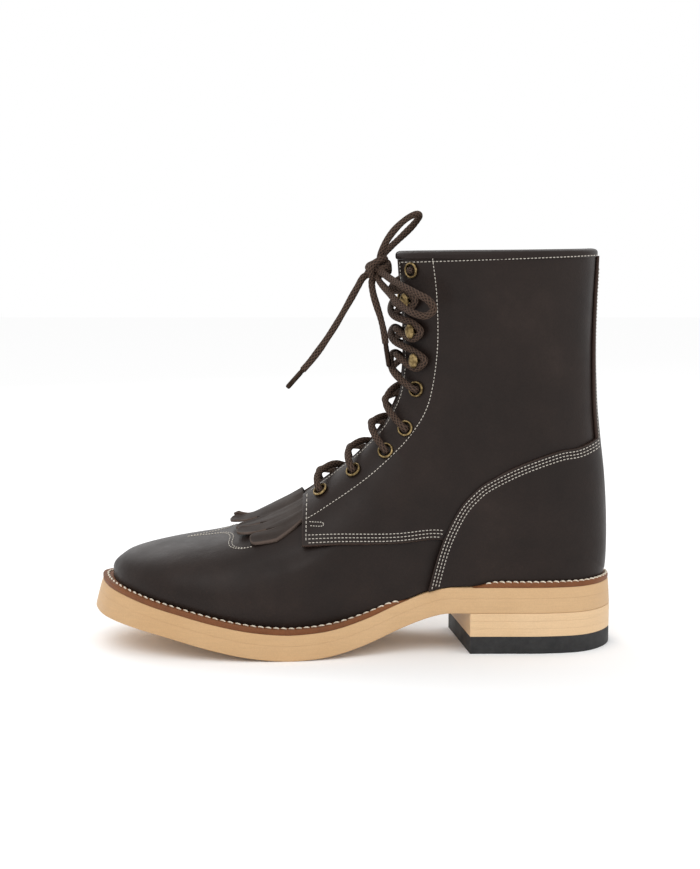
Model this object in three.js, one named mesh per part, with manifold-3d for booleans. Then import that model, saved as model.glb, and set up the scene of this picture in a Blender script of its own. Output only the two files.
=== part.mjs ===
// One laced leather work boot with a fringed kiltie: the left boot of a pair, standing on its heel and sole.
// Millimetres. The toe points to -X, the lateral side faces -Y and +Z is up.
// The origin is on the floor under the middle of the sole.
import * as THREE from "three";
import { mergeVertices } from "three/addons/utils/BufferGeometryUtils.js";
import Module from "manifold-3d";

const wasm = await Module();
wasm.setup();

// ---------------------------------------------------------------- driving dimensions
const SOLE_LENGTH = 305; // toe to heel, along the outsole
const BALL_WIDTH = 106; // outsole at the ball of the foot
const HEEL_WIDTH = 69; // outsole at the heel
const COLLAR_WIDTH = 74; // across the outside of the quarters at the collar
const INSTEP_HEIGHT = 113.8; // heel seat to the crook of the ankle
const SHAFT_RISE = 84; // crook of the ankle to the collar

const HEEL_LIFT = 4.1; // one leather lift of the heel stack
const HEEL_LIFTS = 3;
const TOP_LIFT = 10.1; // rubber top lift, which meets the floor
const OUTSOLE = 8.8; // outsole leather
const MIDSOLE = 5.9; // midsole leather
const TOE_SPRING = 20.5; // rise of the toe off the floor
const TOE_THICKENING = 2.3; // extra outsole at the very toe
const TOE_FLARE = 4.5; // how far the sole edge slants out at the toe
const EDGE_FLARE = 1; // and everywhere else
const HEEL_BREAST = 68; // X of the front of the heel on the lateral side
const BREAST_SLANT = 8.5; // how much further forward it is on the medial side
const BREAST_LEAD = 3.075; // how far ahead of the heel the sole has come up to it
const BALL = -0.115; // where the sole meets the floor, a share of the length from the middle

const WELT = 2.8; // welt thickness
const WELT_EXTENSION = 5.8; // welt beyond the upper, round the forepart
const RAND_EXTENSION = 2.6; // and round the heel
const WELT_END = 33; // X where the forepart welt stops at the waist
const RAND_END = 69; // X where the heel rand starts
const QUARTER_LEAD = 44.6; // how far ahead of the rand the quarter comes in over the vamp
const COUNTER_LEAD = 8; // and the counter

const LEATHER = 1.8; // upper leather
const LINING = 1.5; // lining leather
const STIFFENER = 1.7; // toe puff, heel stiffener and eyelet facings
const GAP = 0.3; // clearance between pieces that touch

const INSOLE = 3;
const CORK = 2.2;
const FOOTBED = 2;
const SHANK = { length: 96, width: 16, thickness: 1.4 };

const THROAT_GAP = 21; // between the two eyelet rows' edges
// Centre of each lacing place behind that edge, measured across, from the lowest up.
const EYELET_INSET = [8, 8.8, 8.3, 7.3, 5.8, 7.3, 7.3, 7.3, 8.8];
const LACING = [12, 13.8, 15.8, 17.8, 21.6, 24.6, 26.6, 28.6, 30.6]; // stations of the lacing places
const HOOKS = [5, 6, 7]; // those that are hooks
const EYELET = { hole: 3.2, barrel: 3.7, flange: 4.7, lip: 0.8 };
const HOOK = { rivet: 1.6, plate: 4.1, thick: 0.8, neck: 1.3, head: [2.9, 4.3, 1.1] };
const LACE = 4; // lace diameter
const AGLET = 3; // diameter of the tag on each lace end

const BINDING = 1.4; // how far the collar binding stands out on each side
const STAY = [13, 7]; // half widths of the back stay, at the bottom and at the top
const TONGUE = 2;
const TONGUE_HALF_WIDTH = 26;
const PUFF = 1.2; // toe puff
const KILTIE = 1.4;
const KILTIE_HALF_WIDTH = 36; // across the vamp
const FRINGES = 8;
const KILTIE_TIP = 0.245; // its free end, as a share of the last
const FRINGE_LENGTH = 15;
const FRINGE_SLIT = 1.1;
const KNOT = [8, 7.5, 6.5]; // half sizes of the bow's knot
const NAIL = { shank: 1, head: 2.3, headThick: 1, recess: 1.6, length: 25 };

// ---------------------------------------------------------------- layers, as distance out from the lining
const LINING_IN = -LINING;
const INNER = [GAP, GAP + STIFFENER]; // vamp, stiffeners and facings
const QUARTER = [INNER[1] + GAP, INNER[1] + GAP + LEATHER];
const OUTER = [QUARTER[1] + GAP, QUARTER[1] + GAP + LEATHER]; // heel counter and back stay
const TONGUE_OUT = LINING_IN - LACE - 6 * GAP; // the lace passes between lining and tongue

// ---------------------------------------------------------------- small helpers
const clamp = (x, a, b) => Math.min(b, Math.max(a, x));
const lerp = (a, b, s) => a + (b - a) * s;
const smooth = (a, b, x) => {
  const s = clamp((x - a) / (b - a), 0, 1);
  return s * s * (3 - 2 * s);
};
const steps = (n, a = 0, b = 1) => Array.from({ length: n + 1 }, (_, i) => lerp(a, b, i / n));
const vec = (x, y, z) => new THREE.Vector3(x, y, z);

// The row of a table at a fractional index, by Catmull-Rom through its rows.
function along(rows, t, closed = false) {
  const n = rows.length;
  const at = (i) => rows[closed ? (i + n) % n : clamp(i, 0, n - 1)];
  const i = closed ? Math.floor(t) : clamp(Math.floor(t), 0, n - 2);
  const s = t - i;
  const [a, b, c, d] = [at(i - 1), at(i), at(i + 1), at(i + 2)];
  return b.map(
    (_, k) =>
      b[k] +
      0.5 * s *
        (c[k] - a[k] + s * (2 * a[k] - 5 * b[k] + 4 * c[k] - d[k] + s * (3 * (b[k] - c[k]) + d[k] - a[k]))),
  );
}

// y at x on a list of [x, y] points whose x always grows.
function level(points, x) {
  if (x <= points[0][0]) return points[0][1];
  for (let i = 1; i < points.length; i++)
    if (x <= points[i][0])
      return lerp(
        points[i - 1][1], points[i][1], (x - points[i - 1][0]) / (points[i][0] - points[i - 1][0]),
      );
  return points.at(-1)[1];
}

// ---------------------------------------------------------------- sole profile and outline
const HEEL_HEIGHT = TOP_LIFT + HEEL_LIFTS * (HEEL_LIFT + GAP) + GAP;
const BREAST = [HEEL_BREAST, HEEL_BREAST - BREAST_SLANT]; // on the lateral and the medial side
const LEVEL = (BREAST[1] - BREAST_LEAD) / SOLE_LENGTH;
// Underside of the outsole: share of the length from the middle, share of the toe spring, and share of the
// heel height.
const UNDERSIDE = [
  [-0.5, 1, 0], [-0.426, 0.82, 0], [-0.344, 0.6, 0], [-0.262, 0.31, 0], [-0.19, 0.1, 0], [BALL, 0, 0],
  [LEVEL - 0.225, 0, 0.075], [LEVEL - 0.159, 0, 0.3], [LEVEL - 0.093, 0, 0.64], [LEVEL - 0.037, 0, 0.9],
  [LEVEL, 0, 1], [LEVEL + 0.055, 0, 1], [0.5, 0, 1],
];
const profile = steps(120, 0, UNDERSIDE.length - 1).map((t) => {
  const [x, toe, heel] = along(UNDERSIDE, t);
  return [x * SOLE_LENGTH, clamp(toe, 0, 1) * TOE_SPRING + clamp(heel, 0, 1) * HEEL_HEIGHT];
});
// Every layer of the sole bends at these same places, closer together at both ends, so that the layers stay
// parallel. One of them is under the ball of the foot, where the sole meets the floor.
const RUNG_SPACING = 10; // on average
const RUNG_X = steps(Math.round(SOLE_LENGTH / RUNG_SPACING)).map(
  (s) => -0.5 * SOLE_LENGTH * Math.cos(Math.PI * s),
);
RUNG_X.push(BALL * SOLE_LENGTH);
RUNG_X.sort((a, b) => a - b);
function overRungs(height) {
  const points = RUNG_X.map((x) => [x, height(x)]);
  return (x) => level(points, x);
}
const underside = overRungs((x) => level(profile, x));
const toeness = (x) => smooth(-0.34 * SOLE_LENGTH, -0.5 * SOLE_LENGTH, x);
const soleTop = overRungs((x) => underside(x) + OUTSOLE + MIDSOLE + TOE_THICKENING * toeness(x));
const SEAT = HEEL_HEIGHT + OUTSOLE + MIDSOLE;

// Plan outline of the outsole: share of the length, share of the local width. It starts at the back of the
// heel and runs along the lateral side to the toe, and back along the medial side.
const OUTLINE = [
  [0.5, 0], [0.481, -0.25], [0.436, -0.43], [0.367, -0.497], [0.279, -0.505], [0.197, -0.503],
  [0.115, -0.453], [0.026, -0.457], [-0.066, -0.478], [-0.157, -0.5], [-0.256, -0.489], [-0.344, -0.434],
  [-0.42, -0.33], [-0.474, -0.18], [-0.5, 0.047], [-0.482, 0.215], [-0.439, 0.342], [-0.367, 0.437],
  [-0.279, 0.49], [-0.197, 0.5], [-0.098, 0.456], [0, 0.394], [0.082, 0.373], [0.157, 0.401],
  [0.23, 0.442], [0.321, 0.478],
  [0.407, 0.452], [0.472, 0.288],
];
const TOE_POINT = 14; // the outline's point at the toe
const localWidth = (share) => lerp(HEEL_WIDTH, BALL_WIDTH, smooth(0.2, -0.1, share));

// Both sides of the outline, moved in by inset(x), as two lists of [x, y] from toe to heel.
function sides(inset) {
  const n = OUTLINE.length;
  const plan = (t) => {
    const [x, y] = along(OUTLINE, t, true);
    return [x * SOLE_LENGTH, y * localWidth(x)];
  };
  const walk = (from, to) =>
    steps(160, from, to).map((t) => {
      const [[x, y], [x1, y1], [x2, y2]] = [plan(t), plan((t + n - 0.01) % n), plan((t + 0.01) % n)];
      const length = Math.hypot(x2 - x1, y2 - y1);
      const d = inset(x);
      return [x + (d * (y2 - y1)) / length, y - (d * (x2 - x1)) / length];
    });
  const rising = (points) => points.filter((p, i) => points.slice(0, i).every((q) => q[0] < p[0]));
  return { "-1": rising(walk(TOE_POINT, 0)), 1: rising(walk(TOE_POINT, n)) };
}
const flare = (x) => lerp(EDGE_FLARE, TOE_FLARE, toeness(x));
// The welt's width beyond the upper: full round the forepart, nothing at the waist, less round the heel.
const extension = (x) =>
  lerp(WELT_EXTENSION * smooth(0.13 * SOLE_LENGTH, -0.06 * SOLE_LENGTH, x), RAND_EXTENSION,
    smooth(0.15 * SOLE_LENGTH, 0.24 * SOLE_LENGTH, x));
// What lies outside the lining near the sole: the vamp, and then the quarter and the counter.
const COVERED = [RAND_END - QUARTER_LEAD, RAND_END - COUNTER_LEAD];
const outside = (x) => lerp(INNER[1], OUTER[1], smooth(...COVERED, x));
const bottomEdge = sides(() => 0);
const topEdge = sides(flare);
const lastInset = (x) => flare(x) + extension(x) + outside(x) + 0.4;
const lastEdge = sides(lastInset);
const TIP = Math.max(lastEdge[-1][0][0], lastEdge[1][0][0]);
const BACK = Math.min(lastEdge[-1].at(-1)[0], lastEdge[1].at(-1)[0]);
const TOE_CENTRE = (lastEdge[-1][0][1] + lastEdge[1][0][1]) / 2;

// ---------------------------------------------------------------- the last: sections between two rails
// Each row: front rail x and height, back rail x and height, centre offset, growth from heel to collar
// width, place of the widest point, and the roundness in front of it and behind it.
// x is a share of the way from the tip to the back. A height is a share of the instep, and above 1 of the
// shaft.
const STATIONS = [
  [0, 0.066, 0, 0, 1, 0, 0.8, 2.3, 2.2],
  [0.0042, 0.096, 0.0042, 0, 1, 0, 0.8, 2.3, 2.2],
  [0.0141, 0.127, 0.0141, 0, 1, 0, 0.8, 2.3, 2.2],
  [0.0336, 0.17, 0.0336, 0, 1, 0, 0.8, 2.3, 2.2],
  [0.0654, 0.211, 0.0654, 0, 1, 0, 0.8, 2.25, 2.2],
  [0.1113, 0.254, 0.1113, 0, 1, 0, 0.8, 2.2, 2.2],
  [0.1643, 0.296, 0.1643, 0, 1, 0, 0.8, 2.15, 2.2],
  [0.2173, 0.335, 0.2173, 0, 1, 0, 0.8, 2.1, 2.2],
  [0.2668, 0.376, 0.2668, 0, 1, 0, 0.8, 2.05, 2.2],
  [0.3127, 0.425, 0.3127, 0, 0.97, 0, 0.8, 2, 2.2],
  [0.3534, 0.477, 0.3534, 0, 0.93, 0, 0.8, 1.95, 2.2],
  [0.394, 0.532, 0.394, 0, 0.88, 0, 0.8, 1.9, 2.2],
  [0.4329, 0.591, 0.4435, 0, 0.78, 0, 0.79, 2, 2.2],
  [0.4682, 0.65, 0.5, 0, 0.66, 0, 0.78, 2.1, 2.2],
  [0.5, 0.7, 0.5636, 0, 0.54, 0, 0.76, 2.2, 2.25],
  [0.5265, 0.753, 0.6272, 0, 0.4, 0, 0.73, 2.3, 2.3],
  [0.5477, 0.808, 0.6943, 0, 0.26, 0, 0.7, 2.4, 2.4],
  [0.5636, 0.86, 0.765, 0, 0.14, 0, 0.66, 2.5, 2.5],
  [0.5753, 0.911, 0.8392, 0, 0.05, 0, 0.63, 2.5, 2.5],
  [0.583, 0.959, 0.9134, 0, 0, 0, 0.6, 2.5, 2.5],
  [0.5876, 1, 0.9664, 0, 0, 0, 0.585, 2.5, 2.5],
  [0.5905, 1.06, 0.9929, 0, 0, 0, 0.575, 2.5, 2.4],
  [0.5926, 1.119, 1.0028, 0.06, 0, 0, 0.57, 2.5, 2.35],
  [0.594, 1.179, 1.0053, 0.2, 0, 0, 0.56, 2.5, 2.3],
  [0.5947, 1.238, 1.0035, 0.37, 0, 0.02, 0.555, 2.5, 2.25],
  [0.595, 1.31, 0.9982, 0.55, 0, 0.06, 0.55, 2.5, 2.2],
  [0.595, 1.393, 0.9894, 0.728, 0, 0.13, 0.545, 2.5, 2.2],
  [0.5943, 1.48, 0.9816, 0.912, 0, 0.23, 0.54, 2.5, 2.2],
  [0.5929, 1.57, 0.9777, 1.131, 0, 0.37, 0.535, 2.5, 2.2],
  [0.5908, 1.66, 0.9763, 1.34, 0, 0.53, 0.53, 2.5, 2.2],
  [0.5883, 1.75, 0.977, 1.57, 0, 0.7, 0.525, 2.5, 2.2],
  [0.5866, 1.84, 0.979, 1.78, 0, 0.86, 0.52, 2.5, 2.2],
  [0.585, 1.93, 0.9806, 1.976, 0, 1, 0.52, 2.5, 2.2],
];
const HEEL_CORNER = 21; // last station that ends on the sole
const TOP = STATIONS.length - 1;
const TUCK = 0.95; // width at the sole against the widest width, round the forepart
const HEEL_HALF = HEEL_WIDTH / 2 - RAND_EXTENSION - OUTER[1] + 1;
const COLLAR_HALF = COLLAR_WIDTH / 2 - QUARTER[1];

const railX = (share) => lerp(TIP, BACK, share);
const railZ = (x, share) =>
  share <= 1
    ? lerp(soleTop(x) + 2 * GAP, SEAT + INSTEP_HEIGHT, share)
    : SEAT + INSTEP_HEIGHT + (share - 1) * SHAFT_RISE;

// Everything that a section needs, for the surface d millimetres outside the lining.
function section(t, side, d) {
  const [fx, fh, bx, bh, shift, growth, widest, round1, round2] = along(STATIONS, t);
  const rail = (s) => {
    const row = along(STATIONS, clamp(s, 0, TOP));
    return [railX(row[0]), railZ(railX(row[0]), row[1]), railX(row[2]), railZ(railX(row[2]), row[3])];
  };
  const [a, b] = [rail(t - 0.2), rail(t + 0.2)];
  const front = Math.hypot(b[0] - a[0], b[1] - a[1]);
  const back = Math.hypot(b[2] - a[2], b[3] - a[3]);
  const tip = 1 - smooth(0, 4, t); // the toe moves forward as a whole
  const x0 = railX(fx);
  const x1 = railX(bx);
  // The front rail is the outside of the leather, so the lining lies that much further in.
  const over = d - (1 - tip) * lerp(INNER[1], QUARTER[1], smooth(9, 14, t));
  const F = [
    x0 - over * lerp((b[1] - a[1]) / front, 1, tip),
    railZ(x0, fh) + (over * (b[0] - a[0]) * (1 - tip)) / front,
  ];
  const centre = TOE_CENTRE * shift;
  // On the sole the back rail ends on the outline, and moves out along the outline's own normal.
  const reachOf = (x) => side * (level(lastEdge[side], x) - centre);
  const slope = reachOf(x1 + 0.5) - reachOf(x1 - 0.5);
  const steep = Math.hypot(1, slope);
  const standing = smooth(HEEL_CORNER, HEEL_CORNER + 1, t);
  const flat = lerp(-1, -slope / steep, smooth(0, 0.4, t));
  const backX = x1 + d * lerp(flat, (b[3] - a[3]) / back, standing);
  const B = [backX, railZ(lerp(backX, x1, standing), bh) - (d * standing * (b[2] - a[2])) / back];
  const toTip = smooth(0, 1.5, t);
  const foot = t > 0 && t < HEEL_CORNER + 1 ? Math.max(0, reachOf(x1)) : 0;
  const end = (foot + (d * toTip) / steep) * (1 - smooth(HEEL_CORNER + 0.3, HEEL_CORNER + 1, t));
  const byHand = lerp(HEEL_HALF, COLLAR_HALF, growth) + d;
  const wide = lerp(foot / TUCK + d * toTip, Math.max(byHand, end * 1.02), smooth(13, 16.5, t));
  const ratio = clamp(end / Math.max(wide, 1e-6), 0, 0.995);
  return { F, B, centre, wide, ratio: t === 0 ? TUCK : ratio, widest, round1, round2, side };
}

const turnOf = (s) => Math.PI / 2 + Math.asin(Math.sqrt(1 - s.ratio ** s.round2));

// A point of the last's surface: round runs from 0 at the front rail to 1 at the sole or the back seam.
function surface(t, round, side, d) {
  const s = section(t, side, d);
  const turn = round * turnOf(s);
  const k = 1 - s.ratio ** s.round2;
  let u, y;
  if (turn <= Math.PI / 2) {
    u = s.widest * (1 - Math.max(0, Math.cos(turn)) ** (2 / s.round1));
    y = Math.sin(turn) ** (2 / s.round1);
  } else {
    const a = turn - Math.PI / 2;
    u = s.widest + (1 - s.widest) * (Math.sin(a) ** (2 / s.round2) / k ** (1 / s.round2));
    y = Math.max(0, Math.cos(a)) ** (2 / s.round2);
  }
  return vec(lerp(s.F[0], s.B[0], u), s.centre + side * s.wide * y, lerp(s.F[1], s.B[1], u));
}

// How far round the section the surface is y millimetres off its centre, in front of or behind its widest
// point.
function roundAt(t, side, d, y, behind = false) {
  const s = section(t, side, d);
  const share = clamp(y / s.wide, 0, 0.999);
  const a = behind
    ? Math.PI / 2 + Math.acos(share ** (s.round2 / 2))
    : Math.asin(share ** (s.round1 / 2));
  return clamp(a / turnOf(s), 0, 1);
}
const EDGE_Y = THROAT_GAP / 2;

// ---------------------------------------------------------------- solids
// A closed solid between two grids of points, out[i][j] and inn[i][j]. A zipped start has no end wall.
function between(out, inn, zipped = false) {
  const rows = out.length;
  const cols = out[0].length;
  const points = [...out.flat(), ...inn.flat()];
  const o = (i, j) => i * cols + j;
  const n = (i, j) => rows * cols + i * cols + j;
  const faces = [];
  const quad = (a, b, c, d) => faces.push(a, b, c, a, c, d);
  for (let i = 0; i < rows - 1; i++)
    for (let j = 0; j < cols - 1; j++) {
      quad(o(i, j), o(i + 1, j), o(i + 1, j + 1), o(i, j + 1));
      quad(n(i, j), n(i, j + 1), n(i + 1, j + 1), n(i + 1, j));
    }
  for (let i = 0; i < rows - 1; i++) {
    quad(o(i, 0), n(i, 0), n(i + 1, 0), o(i + 1, 0));
    quad(o(i, cols - 1), o(i + 1, cols - 1), n(i + 1, cols - 1), n(i, cols - 1));
  }
  for (let j = 0; j < cols - 1; j++) {
    if (!zipped) quad(o(0, j), o(0, j + 1), n(0, j + 1), n(0, j));
    quad(o(rows - 1, j), n(rows - 1, j), n(rows - 1, j + 1), o(rows - 1, j + 1));
  }
  const geometry = new THREE.BufferGeometry();
  geometry.setAttribute("position", new THREE.Float32BufferAttribute(points.flatMap((p) => p.toArray()), 3));
  geometry.setIndex(faces);
  return geometry;
}

function toSolid(geometry) {
  const bare = geometry.clone();
  bare.deleteAttribute("normal");
  bare.deleteAttribute("uv");
  const merged = mergeVertices(bare, 1e-4);
  const index = merged.index.array;
  const kept = [];
  for (let i = 0; i < index.length; i += 3)
    if (index[i] !== index[i + 1] && index[i + 1] !== index[i + 2] && index[i] !== index[i + 2])
      kept.push(index[i], index[i + 1], index[i + 2]);
  const vertProperties = merged.attributes.position.array;
  const make = (triVerts) =>
    new wasm.Manifold(new wasm.Mesh({ numProp: 3, vertProperties, triVerts: new Uint32Array(triVerts) }));
  const solid = make(kept);
  if (solid.volume() >= 0) return solid;
  for (let i = 0; i < kept.length; i += 3) [kept[i + 1], kept[i + 2]] = [kept[i + 2], kept[i + 1]];
  return make(kept);
}

function toGeometry(solid) {
  const mesh = solid.getMesh();
  const geometry = new THREE.BufferGeometry();
  geometry.setAttribute("position", new THREE.Float32BufferAttribute(mesh.vertProperties, mesh.numProp));
  geometry.setIndex([...mesh.triVerts]);
  return geometry;
}

// A region of the side view, [x, z] points, as a bar right through the boot.
function bar(points, reach = 200) {
  const shape = new THREE.Shape(points.map(([x, z]) => new THREE.Vector2(x, z)));
  const geometry = new THREE.ExtrudeGeometry(shape, { depth: 2 * reach, bevelEnabled: false });
  geometry.rotateX(Math.PI / 2);
  geometry.translate(0, reach, 0);
  return toSolid(geometry);
}

// A side-view point from shares: along the last from tip to back, and up the instep or, above 1, the shaft.
const spot = ([share, height]) => [railX(share), railZ(railX(share), height)];

// The surface of one side as a grid, from one place round the section to another. The distance from the
// lining is a number, or a function of the station and the place round the section.
function grid(side, ts, from, to, d, columns) {
  const reach = (t, r) => (typeof d === "function" ? d(t, r) : d);
  return ts.map((t) => {
    const start = from(t, side, reach(t, 0));
    const end = to(t, side, reach(t, 1));
    return steps(columns).map((s) => {
      const round = lerp(start, end, s);
      return surface(t, round, side, reach(t, round));
    });
  });
}
// Everything inside the surface at a distance d from the lining, as a closed solid.
const ROUND = 7;
const STATION_LIST = [
  0, 0.4, 1, 2, 3.2, 4.4, 6, 8, 9.2, 10.4, 11, 12, 13, 14.2, 15.6, 17, 18.4, 19.8, 21, 22, 23.4, 25.4, 27.8,
  30.6, 31.2, 31.45, 31.7, 32,
];
function within(d) {
  const halves = [-1, 1].map((side) => grid(side, STATION_LIST, () => 0, () => 1, d, ROUND));
  const out = halves[0].map((row, i) => [...row.toReversed(), ...halves[1][i].slice(1)]);
  const core = out.map((row) => row.map(() => row[0].clone().lerp(row.at(-1), 0.5)));
  return toSolid(between(out, core, true));
}

// A plank under the foot between two outlines and two heights, each a function of x.
const TRIM = 0.1; // the very ends of an outline, where both sides meet, are cut this short
const SLANTED_RUNGS = 10;
function plank(lowEdge, highEdge, low, high, x0 = [-1e3, -1e3], x1 = 1e3) {
  const frontOf = (edge, i) => Math.max(edge[-1][0][0] + TRIM, edge[1][0][0] + TRIM, x0[i]);
  const backOf = (edge) => Math.min(edge[-1].at(-1)[0] - TRIM, edge[1].at(-1)[0] - TRIM, x1);
  const from = Math.max(frontOf(lowEdge, 0), frontOf(highEdge, 0));
  const to = Math.min(backOf(lowEdge), backOf(highEdge));
  const rungs = RUNG_X.filter((x) => x > from + TRIM && x < to - TRIM);
  const slanted = x0[0] !== x0[1];
  const places = (edge, i) => {
    const [front, back] = [frontOf(edge, i), backOf(edge)];
    if (!slanted) return [front, ...rungs, back];
    return steps(SLANTED_RUNGS).map((s) => lerp(front, back, 0.5 - 0.5 * Math.cos(Math.PI * s)));
  };
  const skin = (edge, height) => {
    const xs = [places(edge, 0), places(edge, 1)];
    return xs[0].map((_, k) =>
      [-1, 1].map((side, i) => vec(xs[i][k], level(edge[side], xs[i][k]), height(xs[i][k]))));
  };
  return toSolid(between(skin(highEdge, high), skin(lowEdge, low)));
}

// ---------------------------------------------------------------- the assembly
const boot = new THREE.Group();
const MATERIALS = {
  leather: { color: 0x2b211d, roughness: 0.5, metalness: 0 },
  rawLeather: { color: 0x574a42, roughness: 0.8, metalness: 0 },
  lining: { color: 0x8a6b4d, roughness: 0.8, metalness: 0 },
  sole: { color: 0xd9b284, roughness: 0.6, metalness: 0 },
  welt: { color: 0x6b3a1c, roughness: 0.7, metalness: 0 },
  rubber: { color: 0x1e1f20, roughness: 0.85, metalness: 0 },
  brass: { color: 0x8f7440, roughness: 0.4, metalness: 1 },
  steel: { color: 0x9a9a9a, roughness: 0.4, metalness: 1 },
  cork: { color: 0xa27c52, roughness: 0.95, metalness: 0 },
  fibre: { color: 0xb9a78c, roughness: 0.9, metalness: 0 },
  lace: { color: 0x3a2820, roughness: 0.9, metalness: 0 },
  plastic: { color: 0x2e211b, roughness: 0.4, metalness: 0 },
};
function add(name, shape, material) {
  const geometry = shape.isBufferGeometry ? shape : toGeometry(shape);
  const mesh = new THREE.Mesh(geometry, new THREE.MeshStandardMaterial(MATERIALS[material]));
  mesh.name = name;
  boot.add(mesh);
  return mesh;
}
const SIDES = [["lateral", -1], ["medial", 1]];

// ---------------------------------------------------------------- heel: top lift, leather lifts, nails
// Each nail: share of the way from breast to back, and of the way out to each side.
const NAILS = [[0.16, -0.62], [0.16, 0.62], [0.62, -0.66], [0.62, 0.66], [0.86, 0]];
const nailPlaces = NAILS.map(([s, across]) => {
  const x = lerp(HEEL_BREAST, SOLE_LENGTH / 2, s);
  return [x, Math.abs(across) * level(bottomEdge[Math.sign(across) || 1], x)];
});
function nail([x, y], clearance, foot = NAIL.recess) {
  const r = NAIL.shank + clearance;
  const head = NAIL.head + clearance;
  const neck = NAIL.recess + NAIL.headThick + clearance;
  const top = NAIL.recess + NAIL.length + clearance;
  const profile = [[0, foot], [head, foot], [head, neck], [r, neck], [r, top], [0, top]];
  const geometry = new THREE.LatheGeometry(profile.map(([px, py]) => new THREE.Vector2(px, py)), 6);
  geometry.rotateX(Math.PI / 2);
  geometry.translate(x, y, 0);
  return toSolid(geometry);
}
const nailed = (solid) => nailPlaces.reduce((left, place) => left.subtract(nail(place, GAP, -1)), solid);

function heel() {
  const piece = (low, high) => nailed(plank(bottomEdge, bottomEdge, () => low, () => high, BREAST));
  add("top_lift", piece(0, TOP_LIFT), "rubber");
  for (let i = 0; i < HEEL_LIFTS; i++) {
    const low = TOP_LIFT + GAP + i * (HEEL_LIFT + GAP);
    add(`heel_lift_${i + 1}`, piece(low, low + HEEL_LIFT), "sole");
  }
  nailPlaces.forEach((place, i) => add(`heel_nail_${i + 1}`, nail(place, 0), "steel"));
}

// ---------------------------------------------------------------- sole, welt and rand
const outsoleTop = (x) => soleTop(x) - MIDSOLE - GAP;
const reachAt = (t) => outside(railX(along(STATIONS, clamp(t, 0, TOP))[2])) + GAP;

function sole() {
  const share = OUTSOLE / (OUTSOLE + MIDSOLE);
  const waistEdge = sides((x) => flare(x) * share);
  add("outsole", nailed(plank(bottomEdge, waistEdge, underside, outsoleTop)), "sole");
  add("midsole", plank(waistEdge, topEdge, (x) => outsoleTop(x) + GAP, soleTop), "sole");
  const upper = within(reachAt);
  const ribbonEdge = sides((x) => flare(x) + 0.2);
  const bottom = (x) => soleTop(x) + GAP;
  const top = (x) => soleTop(x) + GAP + WELT;
  const ribbon = (x0, x1) =>
    plank(ribbonEdge, ribbonEdge, bottom, top, x0, x1)
      .subtract(upper.translate([0, 0, -2]))
      .subtract(upper);
  add("welt", ribbon([-1e3, -1e3], WELT_END), "welt");
  add("heel_rand", ribbon([RAND_END, RAND_END], 1e3), "welt");
}

// ---------------------------------------------------------------- under the foot
function underFoot() {
  const inside = sides((x) => lastInset(x) + LINING + PUFF + 11 * GAP + 4 * toeness(x));
  const base = GAP; // the filler lies this far over the midsole
  const at = (rise) => (x) => soleTop(x) + rise;
  const shankX = [0.5 - SHANK.length / SOLE_LENGTH, 0.5].map((s) => railX(s + 0.06));
  const strip = (grow) => {
    const ends = [shankX[0] - grow, shankX[1] + grow];
    const xs = [ends[0], ...RUNG_X.filter((x) => x > ends[0] + 1 && x < ends[1] - 1), ends[1]];
    const rows = xs.map((x) =>
      [-1, 1].map((side) => vec(x, side * (SHANK.width / 2 + grow), soleTop(x) + base)));
    const raise = (row, z) => row.map((p) => vec(p.x, p.y, p.z + z));
    const top = rows.map((row) => raise(row, SHANK.thickness + 4 * grow));
    return toSolid(between(top, rows.map((row) => raise(row, -4 * grow))));
  };
  add("shank", strip(0), "steel");
  add("cork_filler", plank(inside, inside, at(base), at(base + CORK)).subtract(strip(GAP)), "cork");
  const insoleBase = base + CORK + GAP;
  add("insole", plank(inside, inside, at(insoleBase), at(insoleBase + INSOLE)), "sole");
  const bedBase = insoleBase + INSOLE + GAP;
  add("footbed", plank(inside, inside, at(bedBase), at(bedBase + FOOTBED)), "lining");
}

// ---------------------------------------------------------------- upper
// Side-view edges as shares: the quarter's lower edge, the facing's rear edge, and the counter's edge.
const QUARTER_FRONT = 0.396;
const QUARTER_EDGE = [[QUARTER_FRONT, 0.352], [0.475, 0.363], [0.588, 0.313], [0.682, 0.28]];
const FACING_EDGE = [
  [0.434, 0.488], [0.511, 0.582], [0.57, 0.672], [0.6186, 0.784], [0.652, 0.932], [0.6675, 1.252],
  [0.6657, 1.606], [0.656, 1.95],
];
const COUNTER_EDGE = [
  [0.65, -0.02], [0.661, 0.09], [0.674, 0.193], [0.69, 0.29], [0.714, 0.403], [0.74, 0.478], [0.767, 0.532],
  [0.836, 0.619], [0.913, 0.685], [0.964, 0.704], [1.04, 0.775],
];
const VAMP_BACK = 0.418; // where vamp and vamp lining end, under the quarters
const RIM = [1.868, 1.918]; // height of the quarters' top, at the front and at the back
const CROWN = [1.92, 1.968]; // and of the binding's top
const ALLOWANCE = 0.035; // how far a piece runs on under its neighbour, as a share
const LOW = -0.4;
const FAR = 1.3;
const HIGH = 3;
const clear = GAP / SOLE_LENGTH; // a gap as a share
const shifted = (points, dx, dz = 0) => points.map(([x, z]) => [x + dx, z + dz]);
const region = (points) => bar(points.map(spot));
const box = (x, y, z) => {
  const size = [x, y, z].map(([a, b]) => b - a);
  return wasm.Manifold.cube(size).translate([x[0], y[0], z[0]]);
};
const ALL = [-999, 999];
const half = (side) => box(ALL, side < 0 ? [-999, -GAP / 2] : [GAP / 2, 999], ALL);

// The vamp sinks under the kiltie where the quarters cross both.
const sink = (t, r) =>
  (KILTIE + GAP) * smooth(8, 10.4, t) * (1 - smooth(12, 13, t)) * (1 - smooth(0.5, 0.62, r));
const puffed = (t) => (PUFF + GAP) * (1 - smooth(5, 7.5, t));

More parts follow.
